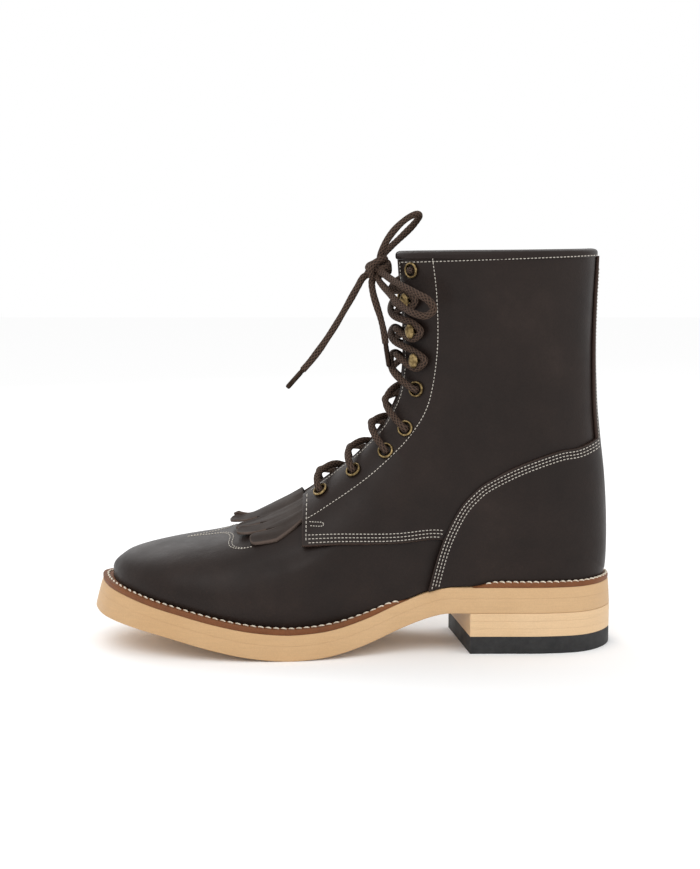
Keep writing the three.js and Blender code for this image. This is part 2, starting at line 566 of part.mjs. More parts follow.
const LASTED = 5 * GAP; // the upper's lower edge lies this far over the midsole, behind the welt
const floor = (() => {
  const wide = sides(() => -9);
  return plank(wide, wide, () => -20, (x) => soleTop(x) + LASTED);
})();
const below = ([front, back]) => [
  [-0.3, front], [0.5, front], [1, back], [FAR, back], [FAR, LOW], [-0.3, LOW],
];
const underRim = region(below(RIM));
const throat = box(ALL, [-EDGE_Y, EDGE_Y], ALL).intersect(
  region([[QUARTER_FRONT - 0.1, 0.3], [0.8, 0.9], [0.8, HIGH], [QUARTER_FRONT - 0.1, HIGH]]),
);
const layer = (low, high) => within(high).subtract(within(low)).subtract(floor);

// ---------------------------------------------------------------- eyelets and hooks
// Where the boot is laced: a point on the lining's outside, the way out, the way up and the way off the
// throat.
function lacingFrame(i, side) {
  const t = LACING[i];
  const r = roundAt(t, side, 0, EDGE_Y + EYELET_INSET[i]);
  const at = surface(t, r, side, 0);
  const up = surface(t + 0.1, r, side, 0).sub(surface(t - 0.1, r, side, 0)).normalize();
  const away = surface(t, r + 0.02, side, 0).sub(surface(t, r - 0.02, side, 0)).normalize();
  const out = new THREE.Vector3().crossVectors(up, away).multiplyScalar(side).normalize();
  return { at, out, up, away: new THREE.Vector3().crossVectors(out, up).multiplyScalar(side).normalize() };
}
// A shape drawn about +Y, as the lathe draws it, stood on a lacing place with +Y on the way out.
function turned(geometry, { at, out, up }) {
  const side = new THREE.Vector3().crossVectors(out, up);
  const stand = new THREE.Matrix4().makeBasis(side.negate(), out, up).setPosition(at);
  return toSolid(geometry.applyMatrix4(stand));
}
const SEATED = QUARTER[1] + 3 * GAP; // underside of a flange or a plate
function eyelet(frame) {
  const { hole, barrel, flange, lip } = EYELET;
  const inner = LINING_IN - GAP;
  const profile = [
    [hole, inner], [barrel, inner], [barrel, SEATED], [flange, SEATED], [hole, SEATED + lip], [hole, inner],
  ];
  return turned(new THREE.LatheGeometry(profile.map(([x, y]) => new THREE.Vector2(x, y)), 8), frame);
}
const LACE_OUT = SEATED + EYELET.lip + LACE / 2 + GAP; // lace centre over the leather
const LACE_IN = LINING_IN - LACE / 2 - 2 * GAP; // and under it
const HEAD_HEIGHT = LACE_OUT + LACE / 2 + 2 * GAP + HOOK.head[2];
function hook(frame) {
  const disc = (r, low, high) => {
    const geometry = new THREE.CylinderGeometry(r, r, high - low, 8);
    return geometry.translate(0, (low + high) / 2, 0);
  };
  const head = new THREE.SphereGeometry(1, 8, 6).scale(HOOK.head[0], HOOK.head[2], HOOK.head[1]);
  head.translate(0, HEAD_HEIGHT, 0);
  return [
    disc(HOOK.rivet, LINING_IN - 5 * GAP, SEATED + 0.2), disc(HOOK.plate, SEATED, SEATED + HOOK.thick),
    disc(HOOK.plate * 0.5, LINING_IN - 6 * GAP, LINING_IN - 4 * GAP),
    disc(HOOK.neck, SEATED, HEAD_HEIGHT), head,
  ].map((shape) => turned(shape, frame)).reduce((a, b) => a.add(b));
}
function lacingHardware() {
  for (const [name, side] of SIDES)
    LACING.forEach((_, i) => {
      const frame = lacingFrame(i, side);
      if (HOOKS.includes(i)) add(`hook_${name}_${i + 1}`, hook(frame).subtract(laceRoom), "brass");
      else add(`eyelet_${name}_${i + 1}`, eyelet(frame).subtract(laceRoom), "brass");
    });
}

// ---------------------------------------------------------------- laces
function tube(points, diameter, spans = 1.2, segments = 6) {
  const shape = new THREE.Shape();
  shape.absarc(0, 0, diameter / 2, 0, 2 * Math.PI);
  const path = new THREE.CatmullRomCurve3(points, false, "centripetal");
  const options = { steps: Math.round(spans * (points.length - 1)), extrudePath: path, bevelEnabled: false };
  return toSolid(new THREE.ExtrudeGeometry(shape, { ...options, curveSegments: segments }));
}
const CROSSING = 0.72 * LACE + GAP; // half the distance between two laces that cross, along the way out
// A point y millimetres off the middle, over or under the leather, at a station.
const across = (t, side, y, d) => surface(t, roundAt(t, side, d, y), side, d);

// One lace from its lowest eyelet to the top one, changing sides at each lacing place.
function laceRun(firstSide) {
  const points = [];
  LACING.forEach((t, i) => {
    const side = i % 2 ? -firstSide : firstSide;
    const { at, out, up, away } = lacingFrame(i, side);
    const isHook = HOOKS.includes(i);
    const from = (o, u = 0, a = 0) =>
      at.clone().addScaledVector(out, o).addScaledVector(up, u).addScaledVector(away, a);
    if (i === 0) points.push(across(t, side, GAP, LACE_IN), across(t, side, EDGE_Y, LACE_IN));
    if (isHook) {
      const reach = HOOK.neck + LACE / 2 + 4 * GAP;
      points.push(from(LACE_OUT, -reach, -1), from(LACE_OUT, 0, reach), from(LACE_OUT, reach, -1));
    } else points.push(from(LACE_IN + 0.5), from((LACE_IN + LACE_OUT) / 2), from(LACE_OUT - 0.6));
    if (i === LACING.length - 1) return;
    const next = LACING[i + 1];
    const toHook = HOOKS.includes(i + 1);
    const arrival = toHook ? LACE_OUT : LACE_IN;
    const lift = side < 0 ? CROSSING : -CROSSING;
    const onward = (share) => lerp(t, next, share);
    points.push(
      across(onward(isHook ? 0.25 : 0.1), side, EDGE_Y + 1, LACE_OUT + 3 * GAP),
      surface(onward(0.5), 0, 1, toHook ? LACE_OUT - 2.2 + lift : 1.4 + lift),
      across(onward(toHook ? 0.75 : 0.82), -side, toHook ? EDGE_Y : EDGE_Y - 3, arrival - GAP),
    );
    if (!toHook) points.push(across(onward(0.92), -side, EDGE_Y + 1.5, arrival - 2 * GAP));
  });
  return points;
}

// The bow: a knot in front of the top eyelets, two loops and two ends. These points are chosen by hand.
const KNOT_AT = [15.5, -1, 219.5];
const BOW = {
  lace_loop_upper: [
    [17, -3, 228], [20, -4, 235], [25.5, -4, 242.5], [32.5, -1, 248.5], [38, 4, 250.8], [39.5, 9, 249.5],
    [36, 13, 244.5], [29.5, 13, 238], [23.5, 9.5, 232.5], [19, 4.5, 227.8],
  ],
  lace_loop_lower: [
    [17, -9.8, 217.6], [22, -22, 214], [28, -35, 210.5], [36, -45, 206.5], [42.5, -50, 202.5],
    [45, -51, 198], [41, -50.5, 194.5], [34, -47, 195.8], [26.5, -36, 200.5], [20.5, -21, 207],
    [15.5, -9.4, 213.4],
  ],
  lace_end_front: [
    [6.8, -3, 214.4], [3.5, -5, 209], [-0.5, -7, 202], [-4.8, -8.5, 194.5], [-9, -9.5, 187.4],
    [-13.6, -10.5, 180.3], [-18.4, -11.5, 173.4], [-23.4, -12.5, 166.9], [-28.4, -13.2, 161.2],
  ],
  lace_end_down: [
    [11.8, -4.8, 212.2], [12.4, -8.4, 205.5], [14.4, -11, 198.5], [16.6, -12.2, 191.5], [18.4, -12.8, 184],
    [19.6, -13.2, 176.5],
  ],
};
const runs = [laceRun(-1), laceRun(1)];
const laceRoom = wasm.Manifold.union(runs.map((points) => tube(points, LACE + 2 * GAP)));
const aglets = { aglet_front: ["lace_end_front", 14], aglet_down: ["lace_end_down", 14] };

function laces() {
  // Where the two press on each other at a crossing, the second is a little flattened.
  add("lace_run_a", tube(runs[0], LACE), "lace");
  add("lace_run_b", tube(runs[1], LACE).subtract(tube(runs[0], LACE + GAP)), "lace");
  const knot = new THREE.SphereGeometry(1, 10, 7).scale(...KNOT).translate(...KNOT_AT);
  add("lace_knot", toSolid(knot), "lace");
  const placed = ([name, list]) => [name, list.map((p) => vec(...p))];
  const places = Object.fromEntries(Object.entries(BOW).map(placed));
  for (const [name, points] of Object.entries(places)) add(name, tube(points, LACE, 1.4, 8), "lace");
  for (const [name, [end, length]] of Object.entries(aglets)) {
    const [before, last] = places[end].slice(-2);
    const ahead = last.clone().sub(before).normalize();
    const start = last.clone().addScaledVector(ahead, GAP);
    const tip = start.clone().addScaledVector(ahead, length);
    add(name, tube([start, tip], AGLET, 1, 8), "plastic");
  }
}

// The kiltie's flap in plan, from its free fringes back to where it hangs.
function fringed(hinge) {
  const tipX = (y) => railX(KILTIE_TIP) + 15 * (y / KILTIE_HALF_WIDTH) ** 2;
  const width = (2 * KILTIE_HALF_WIDTH) / FRINGES;
  const outline = [[hinge, KILTIE_HALF_WIDTH], [hinge, -KILTIE_HALF_WIDTH]];
  for (let i = 0; i < FRINGES; i++) {
    const y = -KILTIE_HALF_WIDTH + i * width;
    const slit = tipX(y) + FRINGE_LENGTH;
    if (i > 0) outline.push([slit, y - FRINGE_SLIT / 2], [slit, y + FRINGE_SLIT / 2]);
    outline.push([tipX(y) + 4, y + FRINGE_SLIT / 2], [tipX(y + width / 2), y + width / 2]);
    outline.push([tipX(y + width) + 4, y + width - FRINGE_SLIT / 2]);
  }
  const shape = new THREE.Shape(outline.map(([x, y]) => new THREE.Vector2(x, y)));
  return toSolid(new THREE.ExtrudeGeometry(shape, { depth: 200, bevelEnabled: false }));
}

function upper() {
  const vampRegion = region([
    [-0.2, LOW], [0.65 + ALLOWANCE, LOW], [0.65 + ALLOWANCE, 0], [0.682 + ALLOWANCE, 0.28],
    ...shifted(QUARTER_EDGE.slice(1).toReversed(), 0, 2 * ALLOWANCE), [VAMP_BACK, 0.44], [VAMP_BACK, HIGH],
    [-0.2, HIGH],
  ]);
  const vampLayer = layer((t, r) => INNER[0] - sink(t, r), (t, r) => INNER[1] - sink(t, r));
  add("vamp", vampLayer.intersect(vampRegion), "leather");
  const toe = region([[-0.2, LOW], [0.11, LOW], [0.11, HIGH], [-0.2, HIGH]]);
  add("toe_puff", layer(-PUFF, 0).intersect(toe), "fibre");
  const liningLayer = layer(
    (t, r) => -LINING - puffed(t) - sink(t, r),
    (t, r) => -puffed(t) - sink(t, r),
  );
  // The vamp's lining ends at a seam that stands up from the floor and leans back at the throat.
  const [seamX, leanFrom, leanTo] = [0.487, 0.43, 0.47];
  const seam = (dx) => [
    [seamX + dx, LOW], [seamX + dx, leanFrom], [VAMP_BACK + dx, leanTo], [VAMP_BACK + dx, HIGH],
  ];
  const front = region([[-0.2, LOW], ...seam(0), [-0.2, HIGH]]);
  add("vamp_lining", liningLayer.intersect(front), "lining");

  const linings = layer(LINING_IN, 0);
  const inner = layer(...INNER);
  const quarter = layer(...QUARTER);
  const outer = layer(...OUTER);
  const quarterRegion = region([
    ...QUARTER_EDGE, [0.682 + ALLOWANCE, 0.28], [0.65 + ALLOWANCE, 0], [0.65 + ALLOWANCE, LOW], [FAR, LOW],
    [FAR, HIGH], [QUARTER_FRONT, HIGH],
  ]);
  const throatRegion = (start) => region([[start, 0.488], ...FACING_EDGE, [0.5, 1.95], [start, 1.2]]);
  const facingRegion = throatRegion(VAMP_BACK + 3 * clear);
  const backRegion = region([...seam(3 * clear).toReversed(), [FAR, LOW], [FAR, HIGH]].toReversed());
  for (const [name, side] of SIDES) {
    const holes = wasm.Manifold.union(LACING.map((t, i) => {
      const radius = (HOOKS.includes(i) ? HOOK.rivet : EYELET.barrel) + GAP;
      return turned(new THREE.CylinderGeometry(radius, radius, 14, 8), lacingFrame(i, side));
    }));
    const kept = half(side).intersect(underRim).subtract(throat).subtract(holes).subtract(laceRoom);
    const cut = (solid, shape) => solid.intersect(shape).intersect(kept);
    add(`quarter_${name}`, cut(quarter, quarterRegion), "leather");
    add(`facing_${name}`, cut(inner, facingRegion), "leather");
    add(`quarter_lining_${name}`, cut(linings, backRegion), "lining");
  }
  const under = region([
    ...shifted(COUNTER_EDGE, 1.5 * ALLOWANCE, -0.03), [FAR, 0.7], [FAR, LOW], [0.7, LOW],
  ]);
  add("heel_stiffener", inner.intersect(under), "fibre");
  const counter = region([...COUNTER_EDGE, [FAR, 0.8], [FAR, LOW], [0.65, LOW]]);
  add("counter_cover", outer.intersect(counter), "leather");
  const above = region([
    ...shifted(COUNTER_EDGE.slice(4), 0, 4 * clear), [FAR, 0.8], [FAR, HIGH], [0.8, HIGH],
  ]);
  const stayPrism = toSolid(between(
    [[vec(100, -STAY[0], 100), vec(200, -STAY[0], 100)], [vec(100, -STAY[1], 240), vec(200, -STAY[1], 240)]],
    [[vec(100, STAY[0], 100), vec(200, STAY[0], 100)], [vec(100, STAY[1], 240), vec(200, STAY[1], 240)]],
  ));
  add("back_stay", outer.intersect(above).intersect(underRim).intersect(stayPrism), "leather");
  // The tongue lies under the laces, and the kiltie over the vamp.
  const tongue = layer(TONGUE_OUT - TONGUE, TONGUE_OUT).intersect(throatRegion(VAMP_BACK + 4 * clear));
  const tongueWidth = box(ALL, [-TONGUE_HALF_WIDTH, TONGUE_HALF_WIDTH], ALL);
  add("tongue", tongue.intersect(underRim).intersect(tongueWidth), "leather");
  const cover = layer((t, r) => QUARTER[0] - sink(t, r), (t, r) => QUARTER[0] + KILTIE - sink(t, r));
  const hinge = railX(QUARTER_FRONT - 2 * clear);
  add("kiltie", cover.intersect(fringed(hinge)), "rawLeather");
  const stitched = 0.7 * KILTIE_HALF_WIDTH;
  const root = box([hinge + 2 * GAP, hinge + 7], [-stitched, stitched], [40, 200]);
  add("kiltie_root", cover.intersect(root), "rawLeather");

  const [rollMiddle, rollHalf] = [31.62, 0.42]; // stations that the binding's roundness is drawn over
  const roll = (t) => BINDING * Math.sqrt(Math.max(0, 1 - ((t - rollMiddle) / rollHalf) ** 2));
  const band = layer((t) => LINING_IN - roll(t), (t) => QUARTER[1] + roll(t));
  const [seamFront, seamBack] = RIM.map((height) => height + 2 * clear);
  const rim = region([
    [-0.3, seamFront], [0.5, seamFront], [1, seamBack], [FAR, seamBack],
    [FAR, CROWN[1]], [1, CROWN[1]], [0.5, CROWN[0]], [-0.3, CROWN[0]],
  ]);
  add("collar_binding", band.intersect(rim).subtract(throat), "leather");
}

heel();
sole();
underFoot();
upper();
lacingHardware();
laces();

export default boot;
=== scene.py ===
# One laced leather boot with a fringed kiltie, dressed round its CAD frame.
# Shapes are worked out in millimetres, in the frame's axes, and made in metres.
import math

import bmesh
import bpy
import numpy as np
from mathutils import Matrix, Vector
from mathutils.bvhtree import BVHTree


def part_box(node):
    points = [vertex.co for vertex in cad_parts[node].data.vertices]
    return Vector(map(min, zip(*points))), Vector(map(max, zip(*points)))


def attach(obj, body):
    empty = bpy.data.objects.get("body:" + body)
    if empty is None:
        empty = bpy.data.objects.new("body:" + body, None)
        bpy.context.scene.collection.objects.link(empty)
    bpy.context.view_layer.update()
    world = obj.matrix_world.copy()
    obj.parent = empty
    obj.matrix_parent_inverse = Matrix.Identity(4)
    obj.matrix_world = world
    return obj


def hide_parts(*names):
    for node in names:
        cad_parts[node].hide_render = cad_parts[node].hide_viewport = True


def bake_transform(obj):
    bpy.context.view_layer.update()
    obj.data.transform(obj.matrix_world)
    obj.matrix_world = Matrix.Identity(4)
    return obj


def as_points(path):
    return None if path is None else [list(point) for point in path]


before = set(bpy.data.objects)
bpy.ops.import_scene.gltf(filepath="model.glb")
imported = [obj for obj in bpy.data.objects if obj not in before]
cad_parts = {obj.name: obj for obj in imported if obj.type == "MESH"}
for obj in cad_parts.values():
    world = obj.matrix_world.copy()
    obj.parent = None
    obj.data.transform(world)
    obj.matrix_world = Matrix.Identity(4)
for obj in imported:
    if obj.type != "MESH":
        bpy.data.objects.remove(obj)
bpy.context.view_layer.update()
MM = 0.001


def box_mm(node):
    low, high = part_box(node)
    return np.array(low) / MM, np.array(high) / MM


# ---------------------------------------------------------------- sizes, read off the frame where they can be
SOLE_LENGTH = 305
BALL_WIDTH = 106
HEEL_WIDTH = 69
GAP = 0.3
HEEL_HEIGHT = box_mm("heel_lift_3")[1][2] + GAP
TOP_LIFT = box_mm("top_lift")[1][2]
OUTSOLE = 8.8
MIDSOLE = 5.9
TOE_SPRING = 20.5
TOE_THICKENING = 2.3
TOE_FLARE = 4.5
EDGE_FLARE = 1
HEEL_BREAST = 68
BREAST_SLANT = 8.5
SEAT = HEEL_HEIGHT + OUTSOLE + MIDSOLE
INSTEP_HEIGHT = 113.8
SHAFT_RISE = 84
WELT = 2.8
WELT_EXTENSION = 5.8
RAND_EXTENSION = 2.6
COLLAR_WIDTH = 74
LEATHER = 1.8
LINING = 1.5
STIFFENER = 1.7
THROAT_GAP = 21
EYELET_INSET = [8, 8.8, 8.3, 7.3, 5.8, 7.3, 7.3, 7.3, 8.8]
LACE = 4
KILTIE = 1.4
KILTIE_HALF_WIDTH = 36
LACING = [12, 13.8, 15.8, 17.8, 21.6, 24.6, 26.6, 28.6, 30.6]
HOOKS = [5, 6, 7]
SIDES = [("lateral", -1), ("medial", 1)]
SEAT_GAPS = 3
EYELET_HOLE, EYELET_BARREL, EYELET_FLANGE, EYELET_LIP = 3.2, 3.7, 4.7, 0.8
HOOK_PLATE, HOOK_NECK = 4.1, 1.3
HOOK_HEAD = (2.9, 4.3, 1.1)
FRINGES = 8
KILTIE_TIP = 0.245
FRINGE_LENGTH = 15
FRINGE_SLIT = 1.1
KILTIE_CROWN = 3.2
KILTIE_HINGE = (-0.0286, 0.0885)
TONGUE_HALF = 26
TONGUE_THICK = 2
STAY_HALF = (13, 7)
JOINT = 0.05
JOINT_ROUND = 0.07
WELT_END = 33
WELT_TAPER = 14
WELT_LEAST = 0.3
STITCH_CLEAR = 5
RAND_END = 69

INNER = (GAP, GAP + STIFFENER)
QUARTER = (INNER[1] + GAP, INNER[1] + GAP + LEATHER)
OUTER = (QUARTER[1] + GAP, QUARTER[1] + GAP + LEATHER)
EDGE_Y = THROAT_GAP / 2


def smooth(a, b, x):
    s = np.clip((x - a) / (b - a), 0, 1)
    return s * s * (3 - 2 * s)


def lerp(a, b, s):
    return a + (b - a) * s


def along(rows, t, closed=False):
    """The row of a table at a fractional index, by Catmull-Rom through its rows."""
    n = len(rows)
    i = math.floor(t) if closed else int(np.clip(math.floor(t), 0, n - 2))
    s = t - i
    pick = (lambda k: rows[k % n]) if closed else (lambda k: rows[int(np.clip(k, 0, n - 1))])
    a, b, c, d = (np.asarray(pick(k), float) for k in (i - 1, i, i + 1, i + 2))
    return b + 0.5 * s * (c - a + s * (2 * a - 5 * b + 4 * c - d + s * (3 * (b - c) + d - a)))


# ---------------------------------------------------------------- sole profile and outline
UNDERSIDE = [
    (-0.5, 1, 0), (-0.426, 0.82, 0), (-0.344, 0.6, 0), (-0.262, 0.31, 0), (-0.19, 0.1, 0), (-0.115, 0, 0),
    (-0.04, 0, 0.075), (0.026, 0, 0.3), (0.092, 0, 0.64), (0.148, 0, 0.9), (0.185, 0, 1), (0.24, 0, 1),
    (0.5, 0, 1),
]
OUTLINE = [
    (0.5, 0), (0.481, -0.25), (0.436, -0.43), (0.367, -0.497), (0.279, -0.505), (0.197, -0.503),
    (0.115, -0.453), (0.026, -0.457), (-0.066, -0.478), (-0.157, -0.5), (-0.256, -0.489), (-0.344, -0.434),
    (-0.42, -0.33),
    (-0.474, -0.18), (-0.5, 0.047), (-0.482, 0.215), (-0.439, 0.342), (-0.367, 0.437), (-0.279, 0.49),
    (-0.197, 0.5), (-0.098, 0.456), (0, 0.394), (0.082, 0.373), (0.157, 0.401), (0.23, 0.442), (0.321, 0.478),
    (0.407, 0.452), (0.472, 0.288),
]
TOE_POINT = 14


def _underside_table():
    rows = np.array([along(UNDERSIDE, t) for t in np.linspace(0, len(UNDERSIDE) - 1, 241)])
    height = np.clip(rows[:, 1], 0, 1) * TOE_SPRING + np.clip(rows[:, 2], 0, 1) * HEEL_HEIGHT
    return rows[:, 0] * SOLE_LENGTH, height


UNDER_X, UNDER_Z = _underside_table()


def underside(x):
    return np.interp(x, UNDER_X, UNDER_Z)


def toeness(x):
    return smooth(-0.34 * SOLE_LENGTH, -0.5 * SOLE_LENGTH, x)


def sole_top(x):
    return underside(x) + OUTSOLE + MIDSOLE + TOE_THICKENING * toeness(x)


def flare(x):
    return lerp(EDGE_FLARE, TOE_FLARE, toeness(x))


def extension(x):
    forepart = WELT_EXTENSION * smooth(0.13 * SOLE_LENGTH, -0.06 * SOLE_LENGTH, x)
    return lerp(forepart, RAND_EXTENSION, smooth(0.15 * SOLE_LENGTH, 0.24 * SOLE_LENGTH, x))


def outside(x):
    return lerp(INNER[1], OUTER[1], smooth(0.08 * SOLE_LENGTH, 0.2 * SOLE_LENGTH, x))


def last_inset(x):
    return flare(x) + extension(x) + outside(x) + 0.4


def sides(inset):
    """Both sides of the outline, moved in by inset(x), as (x, y) arrays from toe to heel."""
    n = len(OUTLINE)

    def plan(t):
        x, y = along(OUTLINE, t, closed=True)
        return np.array([x * SOLE_LENGTH, y * lerp(HEEL_WIDTH, BALL_WIDTH, smooth(0.2, -0.1, x))])

    result = {}
    for side, end in ((-1, 0), (1, n)):
        points = []
        for t in np.linspace(TOE_POINT, end, 321):
            p = plan(t)
            step = plan(t + 0.01) - plan(t - 0.01)
            normal = np.array([step[1], -step[0]]) / np.hypot(*step)
            q = p + inset(p[0]) * normal
            if not points or q[0] > points[-1][0]:
                points.append(q)
        points = np.array(points)
        result[side] = (points[:, 0], points[:, 1])
    return result


def reach(edge, side, x):
    return np.interp(x, *edge[side])


LAST_EDGE = sides(last_inset)
TIP = max(LAST_EDGE[-1][0][0], LAST_EDGE[1][0][0])
BACK = min(LAST_EDGE[-1][0][-1], LAST_EDGE[1][0][-1])
TOE_CENTRE = (LAST_EDGE[-1][1][0] + LAST_EDGE[1][1][0]) / 2

# ---------------------------------------------------------------- the last, as in the CAD model
# Front rail x and height, back rail x and height, centre offset, growth to the collar, widest point and
# roundness in front of it and behind it.
STATIONS = [
    (0, 0.066, 0, 0, 1, 0, 0.8, 2.3, 2.2), (0.0042, 0.096, 0.0042, 0, 1, 0, 0.8, 2.3, 2.2),
    (0.0141, 0.127, 0.0141, 0, 1, 0, 0.8, 2.3, 2.2), (0.0336, 0.17, 0.0336, 0, 1, 0, 0.8, 2.3, 2.2),
    (0.0654, 0.211, 0.0654, 0, 1, 0, 0.8, 2.25, 2.2), (0.1113, 0.254, 0.1113, 0, 1, 0, 0.8, 2.2, 2.2),
    (0.1643, 0.296, 0.1643, 0, 1, 0, 0.8, 2.15, 2.2), (0.2173, 0.335, 0.2173, 0, 1, 0, 0.8, 2.1, 2.2),
    (0.2668, 0.376, 0.2668, 0, 1, 0, 0.8, 2.05, 2.2), (0.3127, 0.425, 0.3127, 0, 0.97, 0, 0.8, 2, 2.2),
    (0.3534, 0.477, 0.3534, 0, 0.93, 0, 0.8, 1.95, 2.2), (0.394, 0.532, 0.394, 0, 0.88, 0, 0.8, 1.9, 2.2),
    (0.4329, 0.591, 0.4435, 0, 0.78, 0, 0.79, 2, 2.2), (0.4682, 0.65, 0.5, 0, 0.66, 0, 0.78, 2.1, 2.2),
    (0.5, 0.7, 0.5636, 0, 0.54, 0, 0.76, 2.2, 2.25), (0.5265, 0.753, 0.6272, 0, 0.4, 0, 0.73, 2.3, 2.3),
    (0.5477, 0.808, 0.6943, 0, 0.26, 0, 0.7, 2.4, 2.4), (0.5636, 0.86, 0.765, 0, 0.14, 0, 0.66, 2.5, 2.5),
    (0.5753, 0.911, 0.8392, 0, 0.05, 0, 0.63, 2.5, 2.5), (0.583, 0.959, 0.9134, 0, 0, 0, 0.6, 2.5, 2.5),
    (0.5876, 1, 0.9664, 0, 0, 0, 0.585, 2.5, 2.5), (0.5905, 1.06, 0.9929, 0, 0, 0, 0.575, 2.5, 2.4),
    (0.5926, 1.119, 1.0028, 0.06, 0, 0, 0.57, 2.5, 2.35), (0.594, 1.179, 1.0053, 0.2, 0, 0, 0.56, 2.5, 2.3),
    (0.5947, 1.238, 1.0035, 0.37, 0, 0.02, 0.555, 2.5, 2.25),
    (0.595, 1.31, 0.9982, 0.55, 0, 0.06, 0.55, 2.5, 2.2),
    (0.595, 1.393, 0.9894, 0.728, 0, 0.13, 0.545, 2.5, 2.2),
    (0.5943, 1.48, 0.9816, 0.912, 0, 0.23, 0.54, 2.5, 2.2),
    (0.5929, 1.57, 0.9777, 1.131, 0, 0.37, 0.535, 2.5, 2.2),
    (0.5908, 1.66, 0.9763, 1.34, 0, 0.53, 0.53, 2.5, 2.2),
    (0.5883, 1.75, 0.977, 1.57, 0, 0.7, 0.525, 2.5, 2.2),
    (0.5866, 1.84, 0.979, 1.78, 0, 0.86, 0.52, 2.5, 2.2),
    (0.585, 1.93, 0.9806, 1.976, 0, 1, 0.52, 2.5, 2.2),
]
HEEL_CORNER = 21
TOP = len(STATIONS) - 1
TUCK = 0.95
HEEL_HALF = HEEL_WIDTH / 2 - RAND_EXTENSION - OUTER[1] + 1
COLLAR_HALF = COLLAR_WIDTH / 2 - QUARTER[1]


def rail_x(share):
    return lerp(TIP, BACK, share)


def rail_z(x, share):
    low = lerp(sole_top(x) + 2 * GAP, SEAT + INSTEP_HEIGHT, share)
    return np.where(np.asarray(share) <= 1, low, SEAT + INSTEP_HEIGHT + (share - 1) * SHAFT_RISE)


def spot(point):
    x = rail_x(point[0])
    return np.array([x, float(rail_z(x, point[1]))])


def section(t, side, d):
    """Front rail F, back rail B and widths of the section at station t, d millimetres outside the lining."""
    fx, fh, bx, bh, shift, growth, widest, round1, round2 = along(STATIONS, t)

    def rails(s):
        row = along(STATIONS, float(np.clip(s, 0, TOP)))
        a, b = rail_x(row[0]), rail_x(row[2])
        return np.array([a, float(rail_z(a, row[1])), b, float(rail_z(b, row[3]))])

    step = rails(t + 0.2) - rails(t - 0.2)
    front = math.hypot(step[0], step[1])
    back = max(math.hypot(step[2], step[3]), 1e-9)
    tip = 1 - smooth(0, 4, t)
    x0, x1 = rail_x(fx), rail_x(bx)
    over = d - (1 - tip) * lerp(INNER[1], QUARTER[1], smooth(9, 14, t))
    F = np.array([x0 - over * lerp(step[1] / front, 1, tip),
                  float(rail_z(x0, fh)) + over * step[0] * (1 - tip) / front])
    centre = TOE_CENTRE * shift

    def reach_of(x):
        return side * (reach(LAST_EDGE, side, x) - centre)

    slope = reach_of(x1 + 0.5) - reach_of(x1 - 0.5)
    steep = math.hypot(1, slope)
    standing = smooth(HEEL_CORNER, HEEL_CORNER + 1, t)
    outward = lerp(lerp(-1, -slope / steep, smooth(0, 0.4, t)), step[3] / back, standing)
    back_x = x1 + d * outward
    B = np.array([back_x, float(rail_z(lerp(back_x, x1, standing), bh)) - d * standing * step[2] / back])
    to_tip = smooth(0, 1.5, t)
    foot = max(0.0, reach_of(x1)) if 0 < t < HEEL_CORNER + 1 else 0.0
    end = (foot + d * to_tip / steep) * (1 - smooth(HEEL_CORNER + 0.3, HEEL_CORNER + 1, t))
    by_hand = lerp(HEEL_HALF, COLLAR_HALF, growth) + d
    wide = lerp(foot / TUCK + d * to_tip, max(by_hand, end * 1.02), smooth(13, 16.5, t))
    ratio = TUCK if t == 0 else float(np.clip(end / max(wide, 1e-6), 0, 0.995))
    return F, B, centre, wide, ratio, widest, round1, round2


def surface(t, r, side, d):
    """Points of the last's surface at one station; r goes from 0 at the front to 1 at the sole or back."""
    F, B, centre, wide, ratio, widest, n1, n2 = section(t, side, d)
    k = 1 - ratio**n2
    turn = np.asarray(r, float) * (math.pi / 2 + math.asin(math.sqrt(k)))
    a = np.clip(turn - math.pi / 2, 0, math.pi / 2)
    c = np.clip(np.cos(turn), 0, 1)
    u = np.where(turn <= math.pi / 2, widest * (1 - c ** (2 / n1)),
                 widest + (1 - widest) * (np.sin(a) ** (2 / n2) / max(k, 1e-9) ** (1 / n2)))
    y = np.where(turn <= math.pi / 2, np.clip(np.sin(turn), 0, 1) ** (2 / n1),
                 np.clip(np.cos(a), 0, 1) ** (2 / n2))
    return np.stack([lerp(F[0], B[0], u), centre + side * wide * y, lerp(F[1], B[1], u)], -1)


def round_at(t, side, d, y, behind=False):
    wide, ratio, _, n1, n2 = section(t, side, d)[3:]
    share = float(np.clip(y / wide, 0, 0.999))
    a = math.pi / 2 + math.acos(share ** (n2 / 2)) if behind else math.asin(share ** (n1 / 2))
    return min(1.0, a / (math.pi / 2 + math.asin(math.sqrt(1 - ratio**n2))))


def point(t, r, side, d):
    return surface(t, [r], side, d)[0]


def across(t, side, y, d):
    return point(t, round_at(t, side, d, y), side, d)


# ---------------------------------------------------------------- edges of the pieces, as shares
QUARTER_FRONT = 0.396
QUARTER_EDGE = [
    (QUARTER_FRONT, 0.352), (0.475, 0.348), (0.588, 0.285), (0.682, 0.235), (0.704, 0.12), (0.722, -0.1),
]
FACING_EDGE = [
    (0.402, 0.45), (0.434, 0.488), (0.511, 0.582), (0.57, 0.672), (0.6186, 0.784), (0.652, 0.932),
    (0.6675, 1.252),
    (0.6657, 1.606), (0.656, 1.88),
]
COUNTER_EDGE = [
    (0.645, -0.06), (0.661, 0.09), (0.674, 0.193), (0.69, 0.29), (0.714, 0.403), (0.74, 0.478),
    (0.767, 0.532),
    (0.836, 0.619), (0.913, 0.685), (0.964, 0.704), (1.04, 0.775),
]


